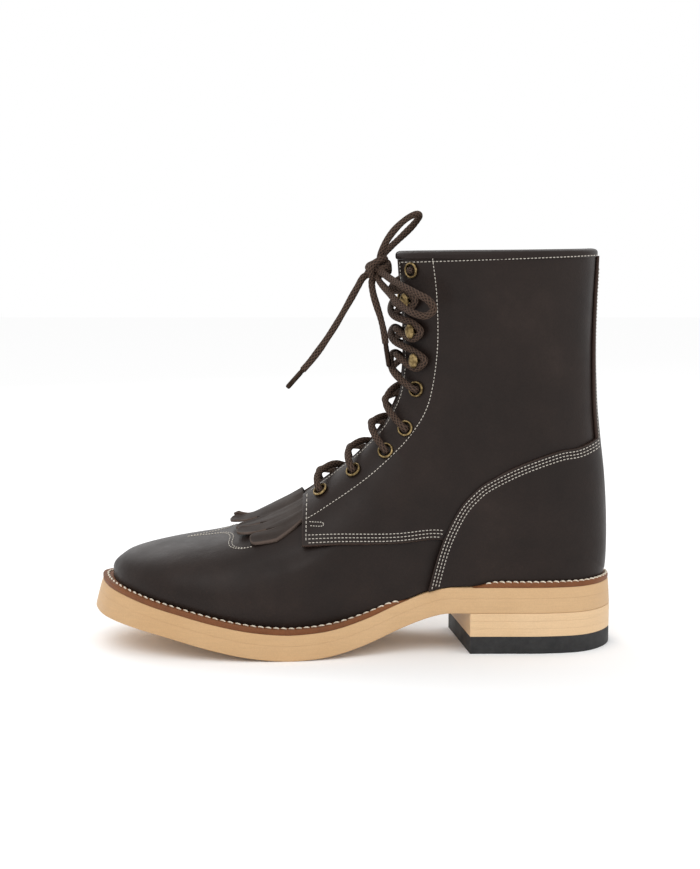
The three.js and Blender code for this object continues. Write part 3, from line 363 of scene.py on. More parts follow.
def polyline(shares, fine=24):
    """A smooth side-view line in millimetres through points given as shares."""
    rows = [spot(p) for p in shares]
    return np.array([along(rows, t) for t in np.linspace(0, len(rows) - 1, fine * (len(rows) - 1) + 1)])


QUARTER_LINE = polyline(QUARTER_EDGE)
QUARTER_CUT = polyline([(0.34, 0.342), *QUARTER_EDGE])  # runs ahead of the quarter's front corner
COUNTER_LINE = polyline(COUNTER_EDGE)
FACING_LINE = polyline(FACING_EDGE)


def crossing(t, side, d, line, lift=0.0):
    """How far round station t's section meets a side-view line; None where it doesn't."""
    rs = np.linspace(0, 1, 300)
    p = surface(t, rs, side, d)
    f = p[:, 2] - np.interp(p[:, 0], line[:, 0], line[:, 1], left=-1e3, right=-1e3) - lift
    hits = np.nonzero((f[:-1] > 0) & (f[1:] <= 0))[0]
    if not len(hits):
        return None
    i = hits[0]
    return float(rs[i] + (rs[1] - rs[0]) * f[i] / (f[i] - f[i + 1]))


# ---------------------------------------------------------------- materials
class Shader:
    """A material's node tree, with short ways to add the nodes that these materials use."""

    def __init__(self, name):
        self.material = bpy.data.materials.new(name)
        self.material.use_nodes = True
        self.nodes = self.material.node_tree.nodes
        self.links = self.material.node_tree.links
        self.bsdf = self.nodes["Principled BSDF"]
        self.where = self.nodes.new("ShaderNodeTexCoord").outputs["Object"]

    def link(self, value, socket):
        if hasattr(value, "links"):
            self.links.new(value, socket)
        else:
            socket.default_value = value

    def noise(self, scale, detail=3.0, rough=0.5, where=None, stretch=None):
        node = self.nodes.new("ShaderNodeTexNoise")
        node.inputs["Scale"].default_value = scale
        node.inputs["Detail"].default_value = detail
        node.inputs["Roughness"].default_value = rough
        self.links.new(self.stretched(where or self.where, stretch), node.inputs["Vector"])
        return node.outputs["Fac"]

    def cells(self, scale):
        node = self.nodes.new("ShaderNodeTexVoronoi")
        node.feature = "F1"
        node.inputs["Scale"].default_value = scale
        self.links.new(self.where, node.inputs["Vector"])
        return node.outputs["Distance"]

    def stretched(self, where, stretch):
        if stretch is None:
            return where
        node = self.nodes.new("ShaderNodeMapping")
        node.inputs["Scale"].default_value = stretch
        self.links.new(where, node.inputs["Vector"])
        return node.outputs["Vector"]

    def attribute(self, name):
        node = self.nodes.new("ShaderNodeAttribute")
        node.attribute_name = name
        return node.outputs["Fac"]

    def ramp(self, value, *stops):
        node = self.nodes.new("ShaderNodeValToRGB")
        elements = node.color_ramp.elements
        while len(elements) < len(stops):
            elements.new(0.5)
        for element, (at, colour) in zip(elements, stops):
            element.position = at
            level = (colour,) * 3 if isinstance(colour, (int, float)) else colour
            element.color = (*level, 1)
        self.links.new(value, node.inputs["Fac"])
        return node.outputs["Color"]

    def mix(self, factor, a, b, mode="MIX"):
        node = self.nodes.new("ShaderNodeMix")
        node.data_type = "RGBA"
        node.blend_type = mode
        for value, socket in ((factor, node.inputs[0]), (a, node.inputs[6]), (b, node.inputs[7])):
            self.link((*value, 1) if isinstance(value, tuple) and len(value) == 3 else value, socket)
        return node.outputs[2]

    def math(self, kind, a, b=0.0):
        node = self.nodes.new("ShaderNodeMath")
        node.operation = kind
        self.link(a, node.inputs[0])
        self.link(b, node.inputs[1])
        return node.outputs[0]

    def bump(self, height, depth, strength=1.0, below=None):
        node = self.nodes.new("ShaderNodeBump")
        node.inputs["Strength"].default_value = strength
        node.inputs["Distance"].default_value = depth
        self.links.new(height, node.inputs["Height"])
        if below is not None:
            self.links.new(below, node.inputs["Normal"])
        return node.outputs["Normal"]

    def finish(self, colour, roughness, normal=None, **fixed):
        self.link((*colour, 1) if isinstance(colour, tuple) else colour, self.bsdf.inputs["Base Color"])
        self.link(roughness, self.bsdf.inputs["Roughness"])
        if normal is not None:
            self.links.new(normal, self.bsdf.inputs["Normal"])
        for name, value in fixed.items():
            self.bsdf.inputs[name.replace("_", " ")].default_value = value
        return self.material


def leather(name, dark, mid, light, shine=0.4, grain=0.00006, specular=0.28):
    """Oiled leather: a mottled colour, a fine pebble, soft creases and lighter cut edges."""
    s = Shader(name)
    mottle = s.noise(22, 5, 0.6)
    colour = s.ramp(mottle, (0.3, dark), (0.55, mid), (0.8, light))
    specks = s.ramp(s.noise(900, 2, 0.6), (0.35, 0.75), (0.65, 1.15))
    colour = s.mix(0.35, colour, specks, "MULTIPLY")
    colour = s.mix(s.attribute("edge"), colour, tuple(min(1, 3.2 * v) for v in mid))
    pebble = s.cells(1500)
    fine = s.bump(pebble, grain, 0.6)
    creases = s.bump(s.noise(60, 4, 0.62), 0.0009, 0.35, below=fine)
    soft = s.bump(s.noise(14, 3, 0.5), 0.004, 0.25, below=creases)
    roughness = s.ramp(s.noise(35, 4, 0.6), (0.3, shine - 0.06), (0.7, shine + 0.1))
    return s.finish(colour, roughness, soft, Specular_IOR_Level=specular)


def sole_leather(name, pale, warm):
    """Vegetable-tanned leather seen edge on: fine fibre lines along the sole, sealed and slightly waxy."""
    s = Shader(name)
    tone = s.ramp(s.noise(12, 4, 0.55), (0.3, warm), (0.7, pale))
    fibres = s.noise(260, 6, 0.7, stretch=(0.25, 0.25, 4))
    tone = s.mix(0.3, tone, s.ramp(fibres, (0.3, 0.78), (0.7, 1.1)), "MULTIPLY")
    pores = s.ramp(s.noise(1400, 2, 0.5), (0.42, 0.86), (0.6, 1.0))
    tone = s.mix(0.35, tone, pores, "MULTIPLY")
    normal = s.bump(fibres, 0.0002, 0.45)
    return s.finish(tone, s.ramp(fibres, (0.3, 0.42), (0.7, 0.62)), normal, Specular_IOR_Level=0.4)


def rubber():
    s = Shader("rubber")
    colour = s.ramp(s.noise(300, 4, 0.6), (0.3, (0.008, 0.008, 0.0088)), (0.7, (0.019, 0.0185, 0.019)))
    normal = s.bump(s.noise(1800, 3, 0.6), 0.00008, 0.6)
    return s.finish(colour, s.ramp(s.noise(80, 3), (0.3, 0.62), (0.7, 0.8)), normal)


def metal(name, dark, bright, rough):
    s = Shader(name)
    tarnish = s.noise(500, 5, 0.65)
    colour = s.ramp(tarnish, (0.35, dark), (0.65, bright))
    normal = s.bump(s.noise(2500, 3, 0.6), 0.00003, 0.5)
    return s.finish(colour, s.ramp(tarnish, (0.3, rough + 0.16), (0.7, rough)), normal, Metallic=1.0)


def thread(name, colour, dark):
    """Waxed thread: a fine mottle of darker and lighter tone, with a bump from the same mottle."""
    s = Shader(name)
    ply = s.noise(1500, 2, 0.5)
    tone = s.ramp(ply, (0.3, dark), (0.62, colour))
    return s.finish(tone, 0.7, s.bump(ply, 0.0001, 0.5), Sheen_Weight=0.15)


def woven_lace(name, dark, mid, fleck):
    """Braided cord: painted shade between the strands, with pale flecks where a lighter yarn surfaces."""
    s = Shader(name)
    uv = s.nodes.new("ShaderNodeUVMap").outputs["UV"]
    painted_braid_shade = s.attribute("braid")
    # Painted shade: darkest where the weave sinks between the strands, the cord's own brown on their crests.
    tone = s.ramp(painted_braid_shade, (0.45, dark), (0.95, mid))
    flecks = s.ramp(s.noise(26, 2, 0.5, where=uv), (0.6, 0.0), (0.68, 1.0))
    tone = s.mix(s.math("MULTIPLY", flecks, 0.5), tone, fleck)
    normal = s.bump(s.noise(2600, 3, 0.6), 0.0001, 0.7)
    return s.finish(tone, 0.78, normal, Specular_IOR_Level=0.2)


def cork():
    s = Shader("cork")
    colour = s.ramp(s.cells(420), (0.1, (0.42, 0.26, 0.13)), (0.7, (0.2, 0.11, 0.05)))
    return s.finish(colour, 0.9, s.bump(s.cells(420), 0.0003, 0.6))


def fibre_board():
    s = Shader("fibre_board")
    fibres = s.noise(500, 4, 0.7)
    colour = s.ramp(fibres, (0.3, (0.36, 0.28, 0.2)), (0.7, (0.56, 0.47, 0.36)))
    return s.finish(colour, 0.9, s.bump(fibres, 0.0002, 0.5))


DARK_LEATHER = leather(
    "dark_leather", (0.011, 0.0066, 0.0052), (0.0165, 0.01, 0.0078), (0.027, 0.017, 0.0135),
    0.42, specular=0.19)
# The kiltie is the same dark leather as the upper; its lighter base colours here are painted sheen.
KILTIE_LEATHER_PAINTED_SHEEN = leather(
    "kiltie_leather", (0.021, 0.0145, 0.0115), (0.033, 0.0235, 0.019), (0.05, 0.037, 0.03), 0.6, specular=0.2)
LINING_LEATHER = leather("lining_leather", (0.24, 0.15, 0.08), (0.3, 0.2, 0.11), (0.36, 0.25, 0.15), 0.6)
SOLE_LEATHER = sole_leather("sole_leather", (0.6, 0.39, 0.205), (0.53, 0.325, 0.155))
HEEL_LEATHER = sole_leather("heel_leather", (0.72, 0.5, 0.29), (0.64, 0.42, 0.22))
WELT_LEATHER = leather("welt_leather", (0.11, 0.035, 0.011), (0.18, 0.062, 0.019), (0.26, 0.096, 0.032), 0.55)
RUBBER = rubber()
BRASS = metal("antique_brass", (0.09, 0.06, 0.025), (0.36, 0.26, 0.12), 0.32)
STEEL = metal("steel", (0.3, 0.3, 0.3), (0.6, 0.6, 0.6), 0.35)
UPPER_THREAD = thread("upper_thread", (0.56, 0.52, 0.46), (0.36, 0.32, 0.27))
WELT_THREAD = thread("welt_thread", (0.75, 0.68, 0.56), (0.45, 0.36, 0.26))
# The darkest colour is the painted shade between the lace's strands.
LACE_CORD = woven_lace("lace_cord", (0.01, 0.0055, 0.0035), (0.075, 0.045, 0.031), (0.26, 0.19, 0.14))
AGLET_PLASTIC = metal("aglet_plastic", (0.02, 0.012, 0.009), (0.045, 0.03, 0.022), 0.3)
CORK = cork()
FIBRE = fibre_board()


# ---------------------------------------------------------------- making pieces
PIECES = {}


def make(name, verts, faces, material, body="boot", nodes=(), slot=None, attributes=None, uvs=None):
    """A smooth mesh from millimetre points, riding on a body and standing for CAD nodes."""
    mesh = bpy.data.meshes.new(name)
    corners = [tuple(v) for v in np.asarray(verts) * MM]
    mesh.from_pydata(corners, [], [tuple(int(i) for i in f) for f in faces])
    mesh.validate()
    for key, values in (attributes or {}).items():
        mesh.attributes.new(key, "FLOAT", "POINT").data.foreach_set("value", np.asarray(values, np.float32))
    if uvs is not None:
        layer = mesh.uv_layers.new(name="UVMap")
        loops = np.zeros(len(mesh.loops), np.int32)
        mesh.loops.foreach_get("vertex_index", loops)
        layer.data.foreach_set("uv", np.asarray(uvs, np.float32)[loops].ravel())
    mesh.polygons.foreach_set("use_smooth", [True] * len(mesh.polygons))
    mesh.materials.append(material)
    obj = bpy.data.objects.new(name, mesh)
    bpy.context.scene.collection.objects.link(obj)
    if body:
        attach(obj, body)
    if nodes:
        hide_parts(*nodes)
    PIECES[name] = obj
    return obj


def tube_faces(rows, ring):
    """Quads between neighbouring rings of points, each ring closed on itself."""
    return [(i * ring + j, i * ring + (j + 1) % ring, (i + 1) * ring + (j + 1) % ring, (i + 1) * ring + j)
            for i in range(rows - 1) for j in range(ring)]


def run_length(points):
    """How far along a line of points each one is."""
    return np.concatenate([[0], np.cumsum(np.linalg.norm(np.diff(points, axis=0), axis=1))])


def at_lengths(points, lengths, wanted):
    """The points of a line at wanted distances along it."""
    points = np.asarray(points)
    return np.stack([np.interp(wanted, lengths, points[:, k]) for k in range(points.shape[1])], 1)


def rim_distance(points, round_ends):
    """How far each grid point is from the flagged borders: first row, last row, first column, last column."""
    across_v = np.zeros(points.shape[:2])
    across_v[:, 1:] = np.cumsum(np.linalg.norm(np.diff(points, axis=1), axis=2), axis=1)
    along_u = np.zeros(points.shape[:2])
    along_u[1:, :] = np.cumsum(np.linalg.norm(np.diff(points, axis=0), axis=2), axis=0)
    distances = (along_u, along_u[-1:] - along_u, across_v, across_v[:, -1:] - across_v)
    rim = np.full(points.shape[:2], 1e3)
    for wanted, distance in zip(round_ends, distances):
        if wanted:
            rim = np.minimum(rim, distance)
    return rim


def thick(name, outer, inner, material, roll=0.5, round_ends=(True,) * 4, keep=None, rim=None, **more):
    """A sheet between two grids of points, with its outer rim rolled over and marked by an edge attribute."""
    rows, cols = outer.shape[:2]
    if rim is None:
        rim = rim_distance(outer, round_ends)
    normal = outer - inner
    normal = normal / np.maximum(np.linalg.norm(normal, axis=2, keepdims=True), 1e-6)
    share = np.clip(rim / roll, 0, 1)
    top = outer - normal * (roll * (1 - np.sqrt(1 - (1 - share) ** 2)))[..., None]
    verts = np.concatenate([top.reshape(-1, 3), inner.reshape(-1, 3)])
    n = rows * cols
    faces, border = [], {}
    for i in range(rows - 1):
        for j in range(cols - 1):
            if keep is not None and not keep[i][j]:
                continue
            a = i * cols + j
            quad = (a, a + cols, a + cols + 1, a + 1)
            faces += [quad, tuple(n + k for k in reversed(quad))]
            for edge in zip(quad, quad[1:] + quad[:1]):
                if edge[::-1] in border:
                    del border[edge[::-1]]
                else:
                    border[edge] = True
    faces += [(b, a, n + a, n + b) for a, b in border]
    edge = np.concatenate([np.exp(-((rim / 0.45) ** 2)).ravel() * 0.8, np.exp(-((rim / 0.6) ** 2)).ravel()])
    obj = make(name, verts, faces, material, attributes={"edge": edge}, **more)
    tidy_normals(obj)
    return obj


def tidy_normals(obj):
    bm = bmesh.new()
    bm.from_mesh(obj.data)
    bmesh.ops.remove_doubles(bm, verts=bm.verts, dist=2e-6)
    bmesh.ops.recalc_face_normals(bm, faces=bm.faces)
    bm.to_mesh(obj.data)
    bm.free()


def near_steps(count, span, near=(0.12, 0.35, 0.7, 1.2)):
    """Shares from 0 to 1, closer together at both ends, so that an edge can be rounded there."""
    ends = [n / max(span, 6.0) for n in near]
    return np.array(sorted({0.0, 1.0, *ends, *[1 - e for e in ends], *np.linspace(0, 1, count + 1)[1:-1]}))


def side_patch(name, ts, start, end, layer, side, cols, material, **more):
    """Leather on one side of the last, from start(t) to end(t) round the section at each station."""
    def face(d):
        return np.array([surface(t, lerp(start(t, side), end(t, side), cols), side, d) for t in ts])

    return thick(name, face(layer[1]), face(layer[0]), material, **more)


def whole_patch(name, ts, start, end, layer, cols, joined, material, at_front=True, **more):
    """Leather over both sides. Column by column it runs from one side's edge to the other's, and where
    joined(t) is true the two sides meet in the middle, at the front rail or at the sole or back seam."""
    def row(t, d):
        halves = []
        for side in (-1, 1):
            a, b = start(t, side), end(t, side)
            halves.append(surface(t, lerp(b, a, cols) if at_front else lerp(a, b, cols), side, d))
        return np.concatenate([halves[0], halves[1][::-1]])

    low, high = (d if callable(d) else (lambda t, r, d=d: d) for d in layer)
    grids = []
    for d in (high, low):
        grids.append(np.array([row(t, d(t, 0)) for t in ts]))
    middle = len(cols) - 1
    keep = [[j != middle or (joined(ts[i]) and joined(ts[i + 1])) for j in range(2 * len(cols) - 1)]
            for i in range(len(ts) - 1)]
    return thick(name, grids[0], grids[1], material, keep=keep, **more)


# ---------------------------------------------------------------- camera, light and floor
def studio():
    camera = bpy.data.objects.new("camera", bpy.data.cameras.new("camera"))
    camera.data.lens = 65.13
    camera.location = (-0.0009, -0.915, 0.235)
    camera.rotation_euler = (math.radians(83), 0, 0)
    bpy.context.scene.collection.objects.link(camera)
    bpy.context.scene.camera = camera
    bpy.context.scene.view_settings.view_transform = "Standard"
    world = bpy.data.worlds.new("world")
    world.use_nodes = True
    world.node_tree.nodes["Background"].inputs["Color"].default_value = (1, 1, 1, 1)
    world.node_tree.nodes["Background"].inputs["Strength"].default_value = 1.0
    bpy.context.scene.world = world
    lights = [("key", (-0.35, -0.9, 1.15), 0.9, 4.5), ("fill", (0.9, -0.7, 0.6), 0.9, 1.5),
              ("back", (-0.5, 0.9, 0.9), 0.8, 4)]
    for name, place, size, power in lights:
        light = bpy.data.objects.new(name, bpy.data.lights.new(name, "AREA"))
        light.data.size = size
        light.data.energy = power
        light.location = place
        light.rotation_euler = (Vector((0, 0, 0.1)) - Vector(place)).to_track_quat("-Z", "Y").to_euler()
        bpy.context.scene.collection.objects.link(light)
    s = Shader("floor")
    white = s.finish((0.97, 0.97, 0.97), 1.0, Specular_IOR_Level=0.0)
    half = 4000
    corners = [(-half, -half, 0), (half, -half, 0), (half, half, 0), (-half, half, 0)]
    floor = make("floor", corners, [(0, 1, 2, 3)], white, body=None)


# ---------------------------------------------------------------- laces
def curve_through(points, step=0.45):
    """A centripetal Catmull-Rom curve through points, sampled at even steps."""
    p = np.asarray(points, float)
    p = np.concatenate([[2 * p[0] - p[1]], p, [2 * p[-1] - p[-2]]])
    dense = []
    for a, b, c, d in zip(p, p[1:], p[2:], p[3:]):
        gaps = [max(np.linalg.norm(v - u), 1e-4) ** 0.5 for u, v in ((a, b), (b, c), (c, d))]
        knots = np.cumsum([0] + gaps)
        t = np.linspace(knots[1], knots[2], 24, endpoint=False)[:, None]
        k = knots
        ab = (k[1] - t) / (k[1] - k[0]) * a + (t - k[0]) / (k[1] - k[0]) * b
        bc = (k[2] - t) / (k[2] - k[1]) * b + (t - k[1]) / (k[2] - k[1]) * c
        cd = (k[3] - t) / (k[3] - k[2]) * c + (t - k[2]) / (k[3] - k[2]) * d
        abc = (k[2] - t) / (k[2] - k[0]) * ab + (t - k[0]) / (k[2] - k[0]) * bc
        bcd = (k[3] - t) / (k[3] - k[1]) * bc + (t - k[1]) / (k[3] - k[1]) * cd
        dense.append((k[2] - t) / (k[2] - k[1]) * abc + (t - k[1]) / (k[2] - k[1]) * bcd)
    dense = np.concatenate(dense + [[p[-2]]])
    s = run_length(dense)
    at = np.linspace(0, s[-1], max(4, int(s[-1] / step)))
    return at_lengths(dense, s, at), at


def tube_frames(path):
    """Two directions across a path at each of its points, carried along without twisting."""
    tangent = np.gradient(path, axis=0)
    tangent /= np.maximum(np.linalg.norm(tangent, axis=1, keepdims=True), 1e-9)
    across_v = np.cross(tangent[0], [0.3, 0.9, 0.2])
    firsts = []
    for t in tangent:
        across_v = across_v - t * np.dot(across_v, t)
        across_v /= np.linalg.norm(across_v)
        firsts.append(across_v)
    firsts = np.array(firsts)
    return firsts, np.cross(tangent, firsts)


BRAID_STRANDS = 6
BRAID_PITCH = 8.4
BRAID_RELIEF = 0.2


def braided(name, points, diameter=LACE, ring=36, flat=1.0, **more):
    """A braided round lace along a curve: two sets of strands wind opposite ways."""
    path, s = curve_through(points)
    first, second = tube_frames(path)
    angle = np.arange(ring) * 2 * math.pi / ring
    turn, run = angle[None, :], (2 * math.pi * s / BRAID_PITCH)[:, None]
    right = np.cos(BRAID_STRANDS * turn + BRAID_STRANDS * run * 0.5)
    left = np.cos(BRAID_STRANDS * turn - BRAID_STRANDS * run * 0.5)
    weave = np.maximum(right, left)
    wander = 0.05 * np.sin(s / 7.3) + 0.04 * np.sin(s / 2.9 + 1)
    radius = diameter / 2 * (1 + wander[:, None]) - BRAID_RELIEF * (1 - weave)
    ends = np.minimum(1, np.minimum(s, s[-1] - s) / 0.5)[:, None]
    radius = radius * np.sqrt(np.clip(ends, 0.02, 1))
    verts = (path[:, None] + first[:, None] * (radius * np.cos(turn))[..., None]
             + second[:, None] * (radius * flat * np.sin(turn))[..., None]).reshape(-1, 3)
    rows = len(path)
    faces = tube_faces(rows, ring)
    faces += [tuple(range(ring))[::-1], tuple((rows - 1) * ring + j for j in range(ring))]
    around, along_it = turn / (2 * math.pi) * 3, s[:, None] / 4
    uvs = np.stack([np.broadcast_to(around, weave.shape), np.broadcast_to(along_it, weave.shape)], -1)
    # The braid attribute carries the weave's height, which the lace material turns into painted shade between
    # the strands.
    obj = make(name, verts, faces, LACE_CORD, slot="lace", attributes={"braid": (weave * 0.5 + 0.5).ravel()},
               uvs=uvs.reshape(-1, 2), **more)
    return obj, path, s[-1]


def lacing_frame(i, side):
    t = LACING[i]
    r = round_at(t, side, 0, EDGE_Y + EYELET_INSET[i])
    at = point(t, r, side, 0)
    up = point(t + 0.1, r, side, 0) - point(t - 0.1, r, side, 0)
    up /= np.linalg.norm(up)
    away = point(t, r + 0.02, side, 0) - point(t, r - 0.02, side, 0)
    out = np.cross(up, away) * side
    out /= np.linalg.norm(out)
    away = np.cross(out, up) * side
    return at, out, up, away / np.linalg.norm(away)


SEATED = QUARTER[1] + SEAT_GAPS * GAP
LACE_OUT = SEATED + EYELET_LIP + LACE / 2 + GAP
LACE_IN = -LINING - LACE / 2 - 2 * GAP
CROSSING = 0.72 * LACE + GAP
HEAD_HEIGHT = LACE_OUT + LACE / 2 + 2 * GAP + HOOK_HEAD[2]


def lace_run(first_side):
    """One lace from its lowest eyelet to the top one, changing sides at each lacing place."""
    points = []
    for i, t in enumerate(LACING):
        side = -first_side if i % 2 else first_side
        at, out, up, away = lacing_frame(i, side)
        is_hook = i in HOOKS
        if i == 0:
            points += [across(t, side, GAP, LACE_IN), across(t, side, EDGE_Y, LACE_IN)]
        if is_hook:
            reach_v = HOOK_NECK + LACE / 2 + 4 * GAP
            points += [at + out * LACE_OUT - up * reach_v - away, at + out * LACE_OUT + away * reach_v,
                       at + out * LACE_OUT + up * reach_v - away]
        else:
            through = (LACE_IN + 0.5, (LACE_IN + LACE_OUT) / 2, LACE_OUT - 0.6)
            points += [at + out * d for d in through]
        if i == len(LACING) - 1:
            break
        to_hook = i + 1 in HOOKS
        arrival = LACE_OUT if to_hook else LACE_IN
        lift = CROSSING if side < 0 else -CROSSING
        onward = lambda share: lerp(t, LACING[i + 1], share)
        points += [
            across(onward(0.25 if is_hook else 0.1), side, EDGE_Y + 1, LACE_OUT + 3 * GAP),
            point(onward(0.5), 0, 1, (LACE_OUT - 2.2 if to_hook else 1.4) + lift),
            across(onward(0.75 if to_hook else 0.82), -side, EDGE_Y if to_hook else EDGE_Y - 3,
                   arrival - GAP),
        ]
        if not to_hook:
            points.append(across(onward(0.92), -side, EDGE_Y + 1.5, arrival - 2 * GAP))
    return points


# The bow's route, in metres: two loops and two ends.
BOW = {
    "lace_loop_upper": [
        (0.017, -0.003, 0.228), (0.02, -0.004, 0.235), (0.0255, -0.004, 0.2425), (0.0325, -0.001, 0.2485),
        (0.038, 0.004, 0.2508), (0.0395, 0.009, 0.2495), (0.036, 0.013, 0.2445), (0.0295, 0.013, 0.238),
        (0.0235, 0.0095, 0.2325), (0.019, 0.0045, 0.2278),
    ],
    "lace_loop_lower": [
        (0.017, -0.0098, 0.2176), (0.022, -0.022, 0.214), (0.028, -0.035, 0.2105), (0.036, -0.045, 0.2065),
        (0.0425, -0.05, 0.2025), (0.045, -0.051, 0.198), (0.041, -0.0505, 0.1945), (0.034, -0.047, 0.1958),
        (0.0265, -0.036, 0.2005), (0.0205, -0.021, 0.207), (0.0155, -0.0094, 0.2134),
    ],
    "lace_end_front": [
        (0.0068, -0.003, 0.2144), (0.0035, -0.005, 0.209), (-0.0005, -0.007, 0.202),
        (-0.0048, -0.0085, 0.1945),
        (-0.009, -0.0095, 0.1874), (-0.0136, -0.0105, 0.1803), (-0.0184, -0.0115, 0.1734),
        (-0.0234, -0.0125, 0.1669), (-0.0284, -0.0132, 0.1612),
    ],
    "lace_end_down": [
        (0.0118, -0.0048, 0.2122), (0.0124, -0.0084, 0.2055), (0.0144, -0.011, 0.1985),
        (0.0166, -0.0122, 0.1915),
        (0.0184, -0.0128, 0.184), (0.0196, -0.0132, 0.1765),
    ],
}
KNOT_AT = np.array([15.5, -1, 219.5])
AGLETS = {"lace_end_front": "aglet_front", "lace_end_down": "aglet_down"}
AGLET_LENGTH = 14
AGLET_LAP = 0.8
KNOT_DEPTH = 0.45
AGLET_WIDTH = 3


def turned_profile(name, profile, at, out, up, material, stretch=1.0, segments=40, **more):
    """A lathe shape about a direction, from rows of (radius, height); stretch lengthens it along up."""
    profile = np.asarray(profile, float)
    first = np.cross(out, up)
    angle = np.arange(segments) * 2 * math.pi / segments
    ring = np.cos(angle)[:, None] * first + np.sin(angle)[:, None] * up * stretch
    radii, rises = profile[:, 0][:, None, None], profile[:, 1][:, None, None]
    verts = (at + rises * out + radii * ring[None]).reshape(-1, 3)
    n = segments
    faces = tube_faces(len(profile), n)
    if profile[0][0] == profile[-1][0] and profile[0][0] > 0 and profile[0][1] != profile[-1][1]:
        last = (len(profile) - 1) * n
        faces += [(j, (j + 1) % n, last + (j + 1) % n, last + j) for j in range(n)]
    obj = make(name, verts, faces, material, **more)
    tidy_normals(obj)
    return obj


def aglet(name, path):
    tangent = path[-1] - path[-6]
    tangent /= np.linalg.norm(tangent)
    side = np.cross(tangent, [0, 1, 0])
    side /= np.linalg.norm(side)
    radius = AGLET_WIDTH / 2
    groove = radius - 0.12
    rows = [(0, 0), (radius - 0.3, 0), (radius, 0.3), (radius, 1), (groove, 1.3), (groove, 1.9),
            (radius, 2.2),
            (radius, AGLET_LENGTH - 1.2), (radius - 0.25, AGLET_LENGTH - 0.4), (radius - 0.7, AGLET_LENGTH),
            (0, AGLET_LENGTH)]
    start = path[-1] - tangent * AGLET_LAP
    return turned_profile(name, rows, start, tangent, side, AGLET_PLASTIC, segments=28,
                          nodes=[name], slot="aglet")


def bow():
    for name, route in BOW.items():
        points = [np.array(p) / MM for p in route]
        points.insert(0, lerp(KNOT_AT, points[0], KNOT_DEPTH))
        if name not in AGLETS:
            points.append(lerp(KNOT_AT, points[-1], KNOT_DEPTH))
        obj, path, length = braided(name, points, nodes=[name])
        end = AGLETS.get(name)
        tag = [aglet(end, path)] if end else []
        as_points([tuple(p * MM) for p in path[::4]] + [tuple(path[-1] * MM)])


def knot():
    """The bow's knot: two turns of lace round the crossing, drawn tight."""
    turns = []
    upper = ((0, 0, 1.6), (5.6, 5.6, 4.4), 0.45, 0.5)
    lower = ((0, -0.3, -2.0), (5.8, 5.4, 3.6), -0.55, -0.3)
    for centre, size, tilt, lean in (upper, lower):
        for a in np.linspace(0, 2 * math.pi, 13):
            x, y, z = size[0] * math.cos(a), size[1] * math.sin(a) * 0.9, size[2] * math.sin(a + lean) * tilt
            turns.append(KNOT_AT + np.array(centre) + (x, y, z))
    braided("lace_knot_turns", turns, diameter=LACE * 1.05, nodes=["lace_knot"])
    wrap = [(-3, -4.5, -6), (-4.5, -6.5, -2), (-3, -7.2, 2.5), (1, -6, 5), (3.5, -2, 5.5), (3, 2.5, 4.5),
            (0, 5, 1), (-1, 4.5, -4)]
    braided("lace_knot_wrap", [KNOT_AT + np.array(p) for p in wrap])


# ---------------------------------------------------------------- sole, welt and heel
def outline_loop(inset, cut=None, count=220):
    """The closed outline moved in by inset(x), counter-clockwise from above; cut is the heel's breast."""
    edge = sides(inset)
    lateral = np.stack(edge[-1], 1)
    medial = np.stack(edge[1], 1)
    if cut:
        lateral = lateral[lateral[:, 0] > cut[0]]
        medial = medial[medial[:, 0] > cut[1]]
        lateral = np.concatenate([[(cut[0], reach(edge, -1, cut[0]))], lateral])
        medial = np.concatenate([[(cut[1], reach(edge, 1, cut[1]))], medial])
    loop = np.concatenate([lateral, medial[::-1]])
    s = run_length(loop)
    loop = at_lengths(loop, s, np.linspace(0, s[-1], count))
    if not cut:
        return loop
    breast = [loop[-1] + (loop[0] - loop[-1]) * k / 24 for k in range(1, 24)]
    return np.concatenate([loop, breast])


def slab(name, rings, material, **more):
    """A closed slab from rings of (outline, height function), bottom to top, with its faces filled across."""
    verts = []
    for loop, height in rings:
        verts += [(x, y, height(x)) for x, y in loop]
    n = len(rings[0][0])
    faces = tube_faces(len(rings), n)
    half = n // 2
    for base, flip in ((0, True), ((len(rings) - 1) * n, False)):
        for k in range(half):
            quad = [base + k, base + k + 1, base + n - 2 - k, base + n - 1 - k]
            quad = list(dict.fromkeys(quad))
            if len(quad) > 2 and k + 1 <= n - 2 - k:
                faces.append(tuple(reversed(quad)) if flip else tuple(quad))
    obj = make(name, verts, faces, material, **more)
    tidy_normals(obj)
    sharpen(obj)
    return obj


def sharpen(obj, angle=38):
    """Shades faces smoothly except across sharp edges."""
    obj.data.set_sharp_from_angle(angle=math.radians(angle))


def edge_rings(low, high, inset_low, inset_high, round_by, cut=None):
    """Rings of a slab whose side edges are rounded at the bottom and the top, each by its own amount."""
    rings = []
    under, over = round_by
    for share, extra in ((0, under), (0.04, under * 0.3), (0.1, 0), (0.9, 0), (0.96, over * 0.3), (1, over)):
        inset = lambda x, s=share, e=extra: lerp(inset_low(x), inset_high(x), s) + e
        height = lambda x, s=share: lerp(low(x), high(x), s)
        rings.append((outline_loop(inset, cut=cut), height))
    return rings


